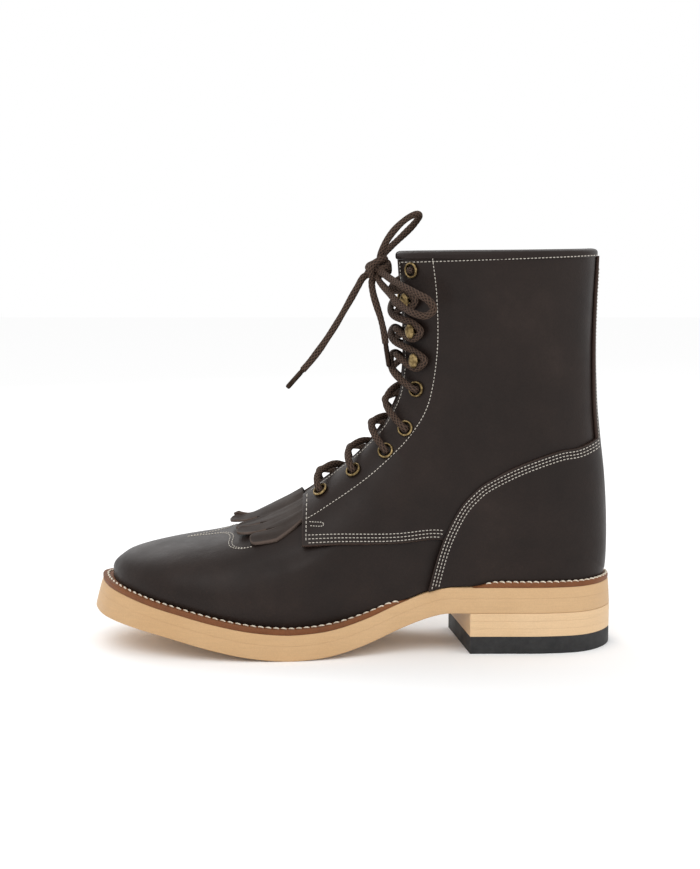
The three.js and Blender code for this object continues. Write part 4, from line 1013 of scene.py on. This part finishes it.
def sole_unit():
    share = OUTSOLE / (OUTSOLE + MIDSOLE)
    joint = lambda x: sole_top(x) - MIDSOLE - GAP
    slab("outsole_leather",
         edge_rings(underside, joint, lambda x: 0.05, lambda x: flare(x) * share, (0.45, JOINT_ROUND)),
         SOLE_LEATHER, nodes=["outsole"], slot="sole_leather")
    slab("midsole_leather",
         edge_rings(lambda x: joint(x) + JOINT, sole_top, lambda x: flare(x) * share, flare,
                    (JOINT_ROUND, 0.4)),
         SOLE_LEATHER, nodes=["midsole"], slot="sole_leather")
    breast = (HEEL_BREAST, HEEL_BREAST - BREAST_SLANT)
    levels = [("top_lift_rubber", "top_lift", 0, TOP_LIFT, RUBBER, "rubber", (0.5, 0.15))]
    start = TOP_LIFT + JOINT
    pitch = (HEEL_HEIGHT - start) / 3
    for i in range(3):
        low = start + i * pitch
        levels.append((f"heel_lift_leather_{i + 1}", f"heel_lift_{i + 1}", low, low + pitch - JOINT,
                       HEEL_LEATHER, "sole_leather", (JOINT_ROUND, JOINT_ROUND)))
    for name, node, low, high, material, slot, soft in levels:
        flat = [lambda x, z=z: z for z in (low, high, 0.05, 0.1)]
        rings = edge_rings(*flat, soft, cut=breast)
        slab(name, rings, material, nodes=[node], slot=slot)


def welt_height(x):
    """Thickness of the welt and the rand, which thin out to nothing at the waist."""
    into = np.where(x < WELT_END, WELT_END - x, x - RAND_END)
    return WELT * smooth(0, WELT_TAPER, into)


def ribbon(name, x_from, x_to, node, material):
    """Welt or rand: a strip on the sole round the upper, from its outer edge in under the upper."""
    def contact(x):
        return flare(x) + extension(x) + GAP

    profile = [(0.35, 0.0), (0.1, 0.35), (0.1, 0.75), (0.45, 1.0), (0.8, 1.0), (1.0, 1.0), (1.0, 0.0)]
    edge = {}
    for share in {p[0] for p in profile}:
        inset = (lambda x, s=share: flare(x) + s) if share < 0.5 else (
            lambda x, s=share: lerp(flare(x) + 0.6, contact(x) + 0.4, (s - 0.5) / 0.5))
        edge[share] = inset
    rings = []
    for share, rise in profile:
        loop = outline_loop(edge[share], count=420)
        rings.append(np.array([
            (x, y, sole_top(x) + GAP * 0.5 + (WELT_LEAST + welt_height(x)) * rise) for x, y in loop]))
    grid = np.array(rings).transpose(1, 0, 2)
    keep = (grid[:, 0, 0] > x_from) & (grid[:, 0, 0] < x_to)
    runs, run = [], []
    for i, wanted in enumerate(keep):
        if wanted:
            run.append(i)
        elif run:
            runs.append(run)
            run = []
    if run:
        runs.append(run)
    if len(runs) == 2 and runs[0][0] == 0 and runs[1][-1] == len(keep) - 1:
        runs = [runs[1] + runs[0]]
    verts, faces, m = [], [], len(profile)
    for run in runs:
        base = len(verts)
        verts += [p for i in run for p in grid[i]]
        for i in range(len(run) - 1):
            for j in range(m):
                a, b = base + i * m + j, base + i * m + (j + 1) % m
                faces.append((a, b, b + m, a + m))
        far = base + (len(run) - 1) * m
        faces += [tuple(range(base, base + m)), tuple(range(far, far + m))[::-1]]
    obj = make(name, verts, faces, material, nodes=[node], slot="welt_leather",
               attributes={"edge": np.zeros(len(verts))})
    tidy_normals(obj)
    sharpen(obj, 50)
    return obj


# ---------------------------------------------------------------- upper
def station_where(test, low, high):
    """The station between low and high at which test changes, to within 0.003 of a station."""
    first = test(low)
    while high - low > 0.003:
        middle = (low + high) / 2
        if test(middle) == first:
            low = middle
        else:
            high = middle
    return low, high


def sink(t, r):
    return (KILTIE + GAP) * smooth(8, 10.4, t) * (1 - smooth(12, 13, t)) * (1 - smooth(0.5, 0.62, r))


RIM_STATION = 31.5
QUARTER_START = 11.05


def quarter_end(t, side, d=QUARTER[1]):
    r = crossing(t, side, d, QUARTER_CUT)
    return 1.0 if r is None else r


def throat(t, side, d=QUARTER[1]):
    return round_at(t, side, d, EDGE_Y)


def back_end(t, side):
    return 1.0


def facing_end(t, side, d=INNER[1]):
    rs = np.linspace(0, 1, 300)
    p = surface(t, rs, side, d)
    ahead = np.interp(p[:, 2], FACING_LINE[:, 1], FACING_LINE[:, 0]) - p[:, 0]
    hits = np.nonzero((ahead[:-1] > 0) & (ahead[1:] <= 0))[0]
    return float(rs[hits[-1]]) if len(hits) else float(throat(t, side, d) + 0.02)


def quarters():
    ts = QUARTER_START + (RIM_STATION - QUARTER_START) * near_steps(150, 190)
    cols = near_steps(90, 120)
    for name, side in SIDES:
        side_patch(f"quarter_{name}_leather", ts, throat, quarter_end, QUARTER, side, cols, DARK_LEATHER,
                   roll=0.6,
                   round_ends=(True, False, True, True), nodes=[f"quarter_{name}"], slot="leather")
        inner_ts = np.linspace(QUARTER_START + 0.5, RIM_STATION, 90)
        side_patch(f"facing_{name}_leather", inner_ts, throat, facing_end, INNER, side, near_steps(10, 20),
                   DARK_LEATHER, roll=0.5, nodes=[f"facing_{name}"], slot="leather")
        lining_ts = np.linspace(15, RIM_STATION, 90)
        side_patch(f"lining_{name}_leather", lining_ts, throat, back_end, (-LINING, 0), side,
                   near_steps(50, 100),
                   LINING_LEATHER, roll=0.4, nodes=[f"quarter_lining_{name}"], slot="lining")


def vamp():
    """The vamp is whole over the toe, and behind the throat it goes on as two strips under the quarters."""
    parting = 11.3
    last = 17.3

    def start(t, side):
        if t <= parting:
            return 0.0
        r = crossing(t, side, INNER[1], QUARTER_CUT, lift=8)
        return 0.0 if r is None else r * float(smooth(parting, parting + 0.8, t))

    ts = np.unique(np.concatenate([
        np.linspace(0, 1.5, 16), np.linspace(1.5, parting, 70), np.linspace(parting, last, 50)]))
    cols = np.linspace(0, 1, 81)
    grids = []
    for d in INNER[::-1]:
        rows = []
        for t in ts:
            halves = []
            for side in (-1, 1):
                rs = lerp(1.0, start(t, side), cols)
                drop = sink(t, rs)
                p = surface(t, rs, side, d)
                inward = (surface(t, rs, side, d - 0.5) - p) / 0.5
                halves.append(p + inward * drop[:, None])
            rows.append(np.concatenate([halves[0], halves[1][::-1]]))
        grids.append(np.array(rows))
    middle = len(cols) - 1
    keep = [[j != middle or ts[i + 1] <= parting for j in range(2 * len(cols) - 1)]
            for i in range(len(ts) - 1)]
    thick("vamp_leather", grids[0], grids[1], DARK_LEATHER, keep=keep, round_ends=(False,) * 4,
          nodes=["vamp"],
          slot="leather")


def counter_start(t, side, d=OUTER[1]):
    r = crossing(t, side, d, COUNTER_LINE)
    return 1.0 if r is None else r


def counter():
    first = station_where(lambda t: counter_start(t, -1) < 0.999, 14, 17)[1]
    last = station_where(lambda t: counter_start(t, -1) < 0.999, 24, 28)[0]
    ts = first + (last - first) * near_steps(110, 110)
    cols = near_steps(60, 80)
    whole_patch("counter_leather", ts, counter_start, back_end, OUTER, cols, lambda t: t >= HEEL_CORNER,
                DARK_LEATHER, at_front=False, roll=0.6, round_ends=(False, False, True, True),
                nodes=["counter_cover"], slot="leather")
    return last


def stay_half(t, counter_top):
    """Half the back stay's width at a station."""
    return lerp(STAY_HALF[0], STAY_HALF[1], (t - counter_top) / (RIM_STATION - counter_top))


def back_stay(counter_top):
    """A strap down the back seam, tapering up from the counter to the collar."""
    start = lambda t, side: round_at(t, side, OUTER[1], stay_half(t, counter_top), True)
    ts = (counter_top - 1.6) + (RIM_STATION - counter_top + 1.6) * near_steps(60, 90)
    whole_patch("back_stay_leather", ts, start, back_end, OUTER, near_steps(14, 12), lambda t: True,
                DARK_LEATHER, at_front=False, roll=0.5, round_ends=(False, False, True, True),
                nodes=["back_stay"], slot="leather")


def collar_binding():
    """A strip of leather rolled over the collar's edge, seen on both faces."""
    half_thickness = (QUARTER[1] + LINING) / 2 + 1.1
    middle = (QUARTER[1] - LINING) / 2
    profile = []
    for a in np.linspace(-0.22 * math.pi, 1.22 * math.pi, 23):
        c, s = math.cos(a), math.sin(a)
        profile.append((half_thickness * np.sign(c) * abs(c) ** 0.7, 2.7 * np.sign(s) * abs(s) ** 0.7))
    rows = []
    for side, shares in ((-1, np.linspace(0, 1, 100)), (1, np.linspace(1, 0, 100)[1:])):
        for share in shares:
            t = lerp(31.48, 31.58, share)
            r = lerp(round_at(t, side, middle, EDGE_Y), 1.0, share)
            at = point(t, r, side, middle)
            out = point(t, r, side, middle + 1) - at
            up = np.array([0.0, 0.0, 1.0])
            rows.append([at + out * u + up * v for u, v in profile])
    rows = np.array(rows)
    n, m = rows.shape[:2]
    verts = rows.reshape(-1, 3)
    faces = tube_faces(n, m)
    faces += [tuple(range(m)), tuple((n - 1) * m + j for j in range(m))[::-1]]
    obj = make("collar_binding_leather", verts, faces, DARK_LEATHER, nodes=["collar_binding"], slot="leather",
               attributes={"edge": np.zeros(len(verts))})
    tidy_normals(obj)


def tongue():
    """The tongue lies under the laces and shows between the facings and above them at the collar."""
    out_d = -LINING - LACE - 6 * GAP
    ts = np.linspace(12.2, RIM_STATION, 110)
    ys = np.concatenate([
        np.linspace(-TONGUE_HALF, -TONGUE_HALF + 1, 4), np.linspace(-TONGUE_HALF + 2, TONGUE_HALF - 2, 50),
        np.linspace(TONGUE_HALF - 1, TONGUE_HALF, 4)])
    grids = []
    for d in (out_d, out_d - TONGUE_THICK):
        rows = []
        for t in ts:
            wide = section(t, 1, d)[3]
            row = [across(t, -1 if y < 0 else 1, min(abs(y), 0.8 * wide), d) for y in ys]
            rows.append(row)
        grids.append(np.array(rows))
    thick("tongue_leather", grids[0], grids[1], DARK_LEATHER, body="tongue", roll=0.5, nodes=["tongue"],
          slot="leather")


def kiltie():
    """A flap that hangs over the vamp's throat, slit into strips that lift a little at their tips."""
    ridge = np.array([point(t, 0, 1, QUARTER[1])[0] for t in np.linspace(3, 12, 91)])
    station_of = lambda x: np.interp(x, ridge, np.linspace(3, 12, 91))
    hinge = rail_x(QUARTER_FRONT - 2 * GAP / 305)
    strip = 2 * KILTIE_HALF_WIDTH / FRINGES
    slits = [-KILTIE_HALF_WIDTH + i * strip for i in range(FRINGES + 1)]
    ys, strip_of = [], []
    for i in range(FRINGES):
        for k in near_steps(8, strip, (0.15, 0.45, 0.9)):
            ys.append(lerp(slits[i] + FRINGE_SLIT / 2, slits[i + 1] - FRINGE_SLIT / 2, k))
            strip_of.append(i)
    ys, strip_of = np.array(ys), np.array(strip_of)
    tip_x = lambda y: rail_x(KILTIE_TIP) + 15 * (y / KILTIE_HALF_WIDTH) ** 2
    slit_rows, tip_rows = np.linspace(0, 1, 40), near_steps(18, FRINGE_LENGTH, (0.15, 0.45, 0.9))
    lifts = np.array([0.6, 2.2, 0.9, 3.0, 4.6, 1.6, 2.6, 0.9])
    lengths = np.array([0.5, -1.5, 1.0, -0.5, 1.5, -1.0, 0.8, -0.4])
    outer, inner, rim = [], [], []
    for row in range(len(slit_rows) + len(tip_rows) - 1):
        top_row, low_row, rim_row = [], [], []
        for y, i in zip(ys, strip_of):
            middle = (slits[i] + slits[i + 1]) / 2
            local = abs(y - middle) / (strip / 2 - FRINGE_SLIT / 2)
            root = tip_x(middle) + FRINGE_LENGTH
            tip = tip_x(middle) + 4 * (1 - math.sqrt(max(0, 1 - local**2.4))) + lengths[i]
            if row < len(slit_rows):
                x, lift, close = lerp(hinge, root, slit_rows[row]), 0.0, 1e3
                narrow = lerp(0.8, 1, slit_rows[row])
            else:
                s = tip_rows[row - len(slit_rows) + 1]
                x, lift, narrow = lerp(root, tip, s), lifts[i] * s**1.8, 1.0
                close = min((1 - local) * strip / 2 + 0.02, (1 - s) * (root - tip))
            if i in (0, FRINGES - 1):
                outer_edge = KILTIE_HALF_WIDTH - FRINGE_SLIT / 2 - abs(y)
                close = min(close, outer_edge)
            t = float(station_of(x))
            side = -1 if y < 0 else 1
            ripple = 0.35 * math.sin(y * 0.42 + 1.3) * float(smooth(0, 14, hinge - x))
            ripple += 0.2 * math.sin(y * 0.9 + x * 0.15)
            crown = KILTIE_CROWN * max(0.0, 1 - (y / 11.5) ** 2) * float(smooth(hinge - 62, hinge - 14, x))
            d = QUARTER[0] + max(0.0, ripple) + lift + crown - float(sink(t, 0.2))
            low_row.append(across(t, side, abs(y) * narrow, d))
            top_row.append(across(t, side, abs(y) * narrow, d + KILTIE))
            rim_row.append(max(close, 0.0))
        outer.append(top_row)
        inner.append(low_row)
        rim.append(rim_row)
    keep = [[i < len(slit_rows) - 1 or strip_of[j] == strip_of[j + 1] for j in range(len(ys) - 1)]
            for i in range(len(outer) - 1)]
    # The kiltie's lighter leather colours are painted sheen.
    obj = thick("kiltie_leather_flap", np.array(outer), np.array(inner), KILTIE_LEATHER_PAINTED_SHEEN, body=None, roll=0.45,
                keep=keep, rim=np.array(rim), nodes=["kiltie"], slot="raw_leather")
    x, z = KILTIE_HINGE
    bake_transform(obj)


# ---------------------------------------------------------------- eyelets and hooks
def hardware():
    hole, barrel, flange, lip = EYELET_HOLE, EYELET_BARREL, EYELET_FLANGE, EYELET_LIP
    ring_middle, ring_half = (hole + flange) / 2, (flange - hole) / 2
    eyelet_rows = [(hole, -LINING - GAP), (hole, SEATED)]
    eyelet_rows += [(ring_middle + ring_half * math.cos(a), SEATED + 0.15 + (lip + 0.1) * math.sin(a))
                    for a in np.linspace(math.pi, 0, 12)]
    eyelet_rows += [(flange, SEATED), (barrel, SEATED), (barrel, -LINING - GAP), (hole, -LINING - GAP)]
    plate = HOOK_PLATE
    plate_rows = [(0, SEATED + 0.25), (1.2, SEATED + 0.25), (1.7, SEATED + 0.7), (plate - 0.9, SEATED + 0.95),
                  (plate - 0.3, SEATED + 0.7), (plate, SEATED + 0.3), (plate, SEATED), (0, SEATED)]
    rx, ry, rise = HOOK_HEAD
    dome_low = HEAD_HEIGHT - rise
    head_rows = [(0, dome_low)] + [(rx * math.cos(a), dome_low + 0.15 + (2 * rise - 0.15) * math.sin(a))
                                   for a in np.linspace(-0.12, math.pi / 2, 14)]
    neck_rows = [(0, SEATED), (HOOK_NECK + 0.5, SEATED + 0.6), (HOOK_NECK, SEATED + 1.6),
                 (HOOK_NECK, dome_low - 0.2),
                 (HOOK_NECK + 0.5, dome_low + 0.1), (0, dome_low + 0.1)]
    for name, side in SIDES:
        for i in range(len(LACING)):
            at, out, up, away = lacing_frame(i, side)
            if i in HOOKS:
                node = f"hook_{name}_{i + 1}"
                turned_profile(node + "_plate", plate_rows, at, out, up, BRASS, nodes=[node], slot="brass")
                turned_profile(node + "_neck", neck_rows, at, out, up, BRASS, slot="brass")
                turned_profile(node + "_head", head_rows, at - away * 1.2, out, up, BRASS, stretch=ry / rx,
                               slot="brass")
            else:
                node = f"eyelet_{name}_{i + 1}"
                turned_profile(node + "_ring", eyelet_rows, at, out, up, BRASS, nodes=[node], slot="brass")


# ---------------------------------------------------------------- stitches
def skins(names):
    """One tree of the pieces' faces, to lay stitches on."""
    verts, faces = [], []
    for name in names:
        mesh = PIECES[name].data
        base = len(verts)
        verts += [v.co.copy() for v in mesh.vertices]
        faces += [[base + k for k in p.vertices] for p in mesh.polygons]
    return BVHTree.FromPolygons(verts, faces)


def resampled(line, pitch):
    """Points an even pitch apart along a line."""
    line = np.asarray(line, float)
    s = run_length(line)
    return at_lengths(line, s, np.arange(pitch / 2, s[-1], pitch))


def offset_line(line, distance):
    """A side-view line moved sideways, to the left of the way it runs."""
    step = np.gradient(line, axis=0)
    step /= np.maximum(np.linalg.norm(step, axis=1, keepdims=True), 1e-9)
    return line + distance * np.stack([-step[:, 1], step[:, 0]], 1)


class Stitching:
    """Stitches of one thread, gathered into one mesh."""

    # Share of the way along a stitch, its width and its height off the leather.
    PROFILE = [(0, 0.25, -0.5), (0.12, 0.8, 0.1), (0.35, 1, 0.6), (0.65, 1, 0.6), (0.88, 0.8, 0.1),
               (1, 0.25, -0.5)]

    def __init__(self, name, material, radius, fill):
        self.name, self.material, self.radius, self.fill = name, material, radius, fill
        self.verts, self.faces = [], []

    def stitch(self, a, b, normal):
        """One stitch lying between two holes: highest in the middle, and sunk at its ends."""
        a, b, normal = (np.asarray(v, float) for v in (a, b, normal))
        run = b - a
        length = np.linalg.norm(run)
        if length < 1e-6:
            return
        run /= length
        normal = normal / max(np.linalg.norm(normal), 1e-9)
        side = np.cross(run, normal)
        base, ring = len(self.verts), 8
        for s, width, rise in self.PROFILE:
            centre = a + run * length * s + normal * self.radius * rise
            for k in range(ring):
                turn = 2 * math.pi * k / ring
                outward = math.cos(turn) * side + 0.8 * math.sin(turn) * normal
                self.verts.append(centre + self.radius * width * outward)
        for i in range(5):
            for k in range(ring):
                a0, b0 = base + i * ring + k, base + i * ring + (k + 1) % ring
                self.faces.append((a0, b0, b0 + ring, a0 + ring))
        far = base + (len(self.PROFILE) - 1) * ring
        self.faces += [tuple(base + k for k in range(ring))[::-1], tuple(far + k for k in range(ring))]

    def row(self, points, normals, slant=0.0):
        for p, q, n in zip(points, points[1:], normals):
            p, q, n = np.asarray(p), np.asarray(q), np.asarray(n)
            side = np.cross(q - p, n)
            side = side / max(np.linalg.norm(side), 1e-9)
            gap = (q - p) * (1 - self.fill) / 2
            if np.linalg.norm(q - p) < 6 * self.radius + 6:
                self.stitch(p + gap - side * slant, q - gap + side * slant, n)

    def on_side(self, tree, line, side, pitch):
        """Stitches along a side-view line, laid on whatever a ray from that side meets first."""
        points, normals = [], []
        for x, z in resampled(line, pitch):
            hit, normal, _, _ = tree.ray_cast(Vector((x * MM, side * 0.2, z * MM)), Vector((0, -side, 0)))
            if hit is None:
                self.row(points, normals)
                points, normals = [], []
                continue
            normal = np.array(normal)
            points.append(np.array(hit) / MM)
            normals.append(normal if normal[1] * side > 0 else -normal)
        self.row(points, normals)

    def from_above(self, tree, line, pitch):
        points, normals = [], []
        for x, y in resampled(line, pitch):
            hit, normal, _, _ = tree.ray_cast(Vector((x * MM, y * MM, 0.3)), Vector((0, 0, -1)))
            if hit is not None:
                points.append(np.array(hit) / MM)
                normals.append(np.array(normal) * (1 if normal[2] > 0 else -1))
        self.row(points, normals)

    def on_last(self, ts, round_of, side, d):
        """Stitches d outside the lining, round_of(t) round the section; gives the points they follow."""
        points, normals = [], []
        for t in ts:
            r = round_of(t)
            p = point(t, r, side, d)
            points.append(p)
            normals.append(point(t, r, side, d + 1) - p)
        s = run_length(points)
        at = np.arange(STITCH / 2, s[-1], STITCH)
        self.row(at_lengths(points, s, at), at_lengths(normals, s, at))
        return points

    def finish(self, slot):
        return make(self.name, self.verts, self.faces, self.material, slot=slot)


STITCH = 2.1  # from one stitch to the next
ROW = 2.0  # between the quarter's rows
COUNTER_ROW = 1.8
FIRST_ROW = 1.5  # from an edge to its first row
ROW_END = 0.6  # from the quarter's rows to the counter
THROAT_ROW = 2.4  # from the throat's edge to its row


def upper_stitches(counter_top):
    stitched = ("quarter_", "counter_", "back_stay", "vamp_leather", "collar_")
    tree = skins([n for n in PIECES if n.startswith(stitched)])
    rows = Stitching("upper_stitches", UPPER_THREAD, 0.27, 0.72)
    for _, side in SIDES:
        for k in range(3):
            row = offset_line(QUARTER_LINE, FIRST_ROW + k * ROW)[4:]
            counter_x = np.interp(row[:, 1], COUNTER_LINE[:, 1], COUNTER_LINE[:, 0])
            rows.on_side(tree, row[np.cumsum(row[:, 0] > counter_x - ROW_END) == 0], side, STITCH)
            rows.on_side(tree, offset_line(COUNTER_LINE, -(FIRST_ROW + k * COUNTER_ROW)), side, STITCH)
        rows.on_side(tree, offset_line(FACING_LINE, 0.01), side, STITCH)
        edge = rows.on_last(np.linspace(QUARTER_START + 0.35, RIM_STATION - 0.35, 400),
                            lambda t: round_at(t, side, QUARTER[1], EDGE_Y + THROAT_ROW), side, QUARTER[1])
        front_x = rail_x(QUARTER_FRONT)
        front_row = front_x + 2.2
        rows.on_side(tree, [(front_row, QUARTER_LINE[0, 1] + 1.6), (front_row, edge[0][2])], side, STITCH)
        bar_z = QUARTER_LINE[0, 1] + 11.5
        bartack = [(front_x + 3, bar_z + 1), (front_x + 11.5, bar_z + 1.2), (front_x + 12.6, bar_z + 0.2),
                   (front_x + 11.5, bar_z - 0.9), (front_x + 3, bar_z - 1)]
        rows.on_side(tree, bartack, side, 1.5)
        rim = [(x, rail_rim(x)) for x in np.linspace(rail_x(0.585) + 1.5, BACK + 2, 60)]
        rows.on_side(tree, rim, side, STITCH)
    for _, side in SIDES:
        rows.on_last(np.linspace(counter_top - 0.2, RIM_STATION - 0.3, 300),
                     lambda t: round_at(t, side, OUTER[1], stay_half(t, counter_top) - 1.6, True),
                     side, OUTER[1])
    rows.finish("leather")


def rail_rim(x):
    """Height of the stitching under the collar binding."""
    return lerp(SEAT + INSTEP_HEIGHT + 0.868 * SHAFT_RISE, SEAT + INSTEP_HEIGHT + 0.918 * SHAFT_RISE,
                (x - rail_x(0.585)) / (BACK - rail_x(0.585))) - 1.9


def toe_stitches():
    """Two rows that run back from the toe to the kiltie on each side, and meet in a point."""
    tree = skins(["vamp_leather"])
    rows = Stitching("toe_stitches", UPPER_THREAD, 0.26, 0.7)
    outline = [(-98, 0), (-88, 2), (-78, 4.5), (-72.5, 9), (-70.5, 15), (-71, 21), (-69.5, 25.5), (-64, 28.5),
               (-58, 29)]
    for inset in (0, 1.9):
        for side in (-1, 1):
            line = np.array([along(outline, t) for t in np.linspace(0, len(outline) - 1, 60)])
            line = line * (1, side) + (inset, 0)
            rows.from_above(tree, line, 1.8)
    rows.finish("leather")


def welt_stitches():
    thread = Stitching("welt_stitches", WELT_THREAD, 0.62, 0.9)
    forepart = (-1e3, WELT_END - STITCH_CLEAR, 4.3, 0.55)
    heel = (RAND_END + STITCH_CLEAR, 1e3, 3.9, 0.4)
    for low, high, pitch, share in (forepart, heel):
        line = outline_loop(lambda x: flare(x) + extension(x) * share, count=900)
        if high < 1e3:
            line = np.roll(line, len(line) // 2, axis=0)
        line = line[(line[:, 0] > low) & (line[:, 0] < high)]
        line = resampled(line, pitch)
        points = [(x, y, sole_top(x) + GAP + float(welt_height(x))) for x, y in line]
        thread.row(points, [(0, 0, 1)] * len(points), slant=0.55)
    thread.finish("welt_leather")


# ---------------------------------------------------------------- the boot
studio()
bow()
knot()
for run_name, first in (("lace_run_a", -1), ("lace_run_b", 1)):
    braided(run_name + "_woven", lace_run(first), nodes=[run_name])
sole_unit()
ribbon("welt_strip", -1e3, WELT_END, "welt", WELT_LEATHER)
ribbon("heel_rand_strip", RAND_END, 1e3, "heel_rand", WELT_LEATHER)
vamp()
quarters()
counter_top = counter()
back_stay(counter_top)
collar_binding()
tongue()
kiltie()
hardware()
upper_stitches(counter_top)
toe_stitches()
welt_stitches()

HIDDEN_FINISHES = {
    "cork_filler": CORK, "shank": STEEL, "insole": SOLE_LEATHER, "footbed": LINING_LEATHER, "toe_puff": FIBRE,
    "heel_stiffener": FIBRE, "vamp_lining": LINING_LEATHER, "kiltie_root": KILTIE_LEATHER_PAINTED_SHEEN,
    **{f"heel_nail_{i}": STEEL for i in range(1, 6)},
}
for node, material in HIDDEN_FINISHES.items():
    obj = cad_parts[node]
    obj.data.materials.clear()
    obj.data.materials.append(material)

bpy.context.view_layer.update()
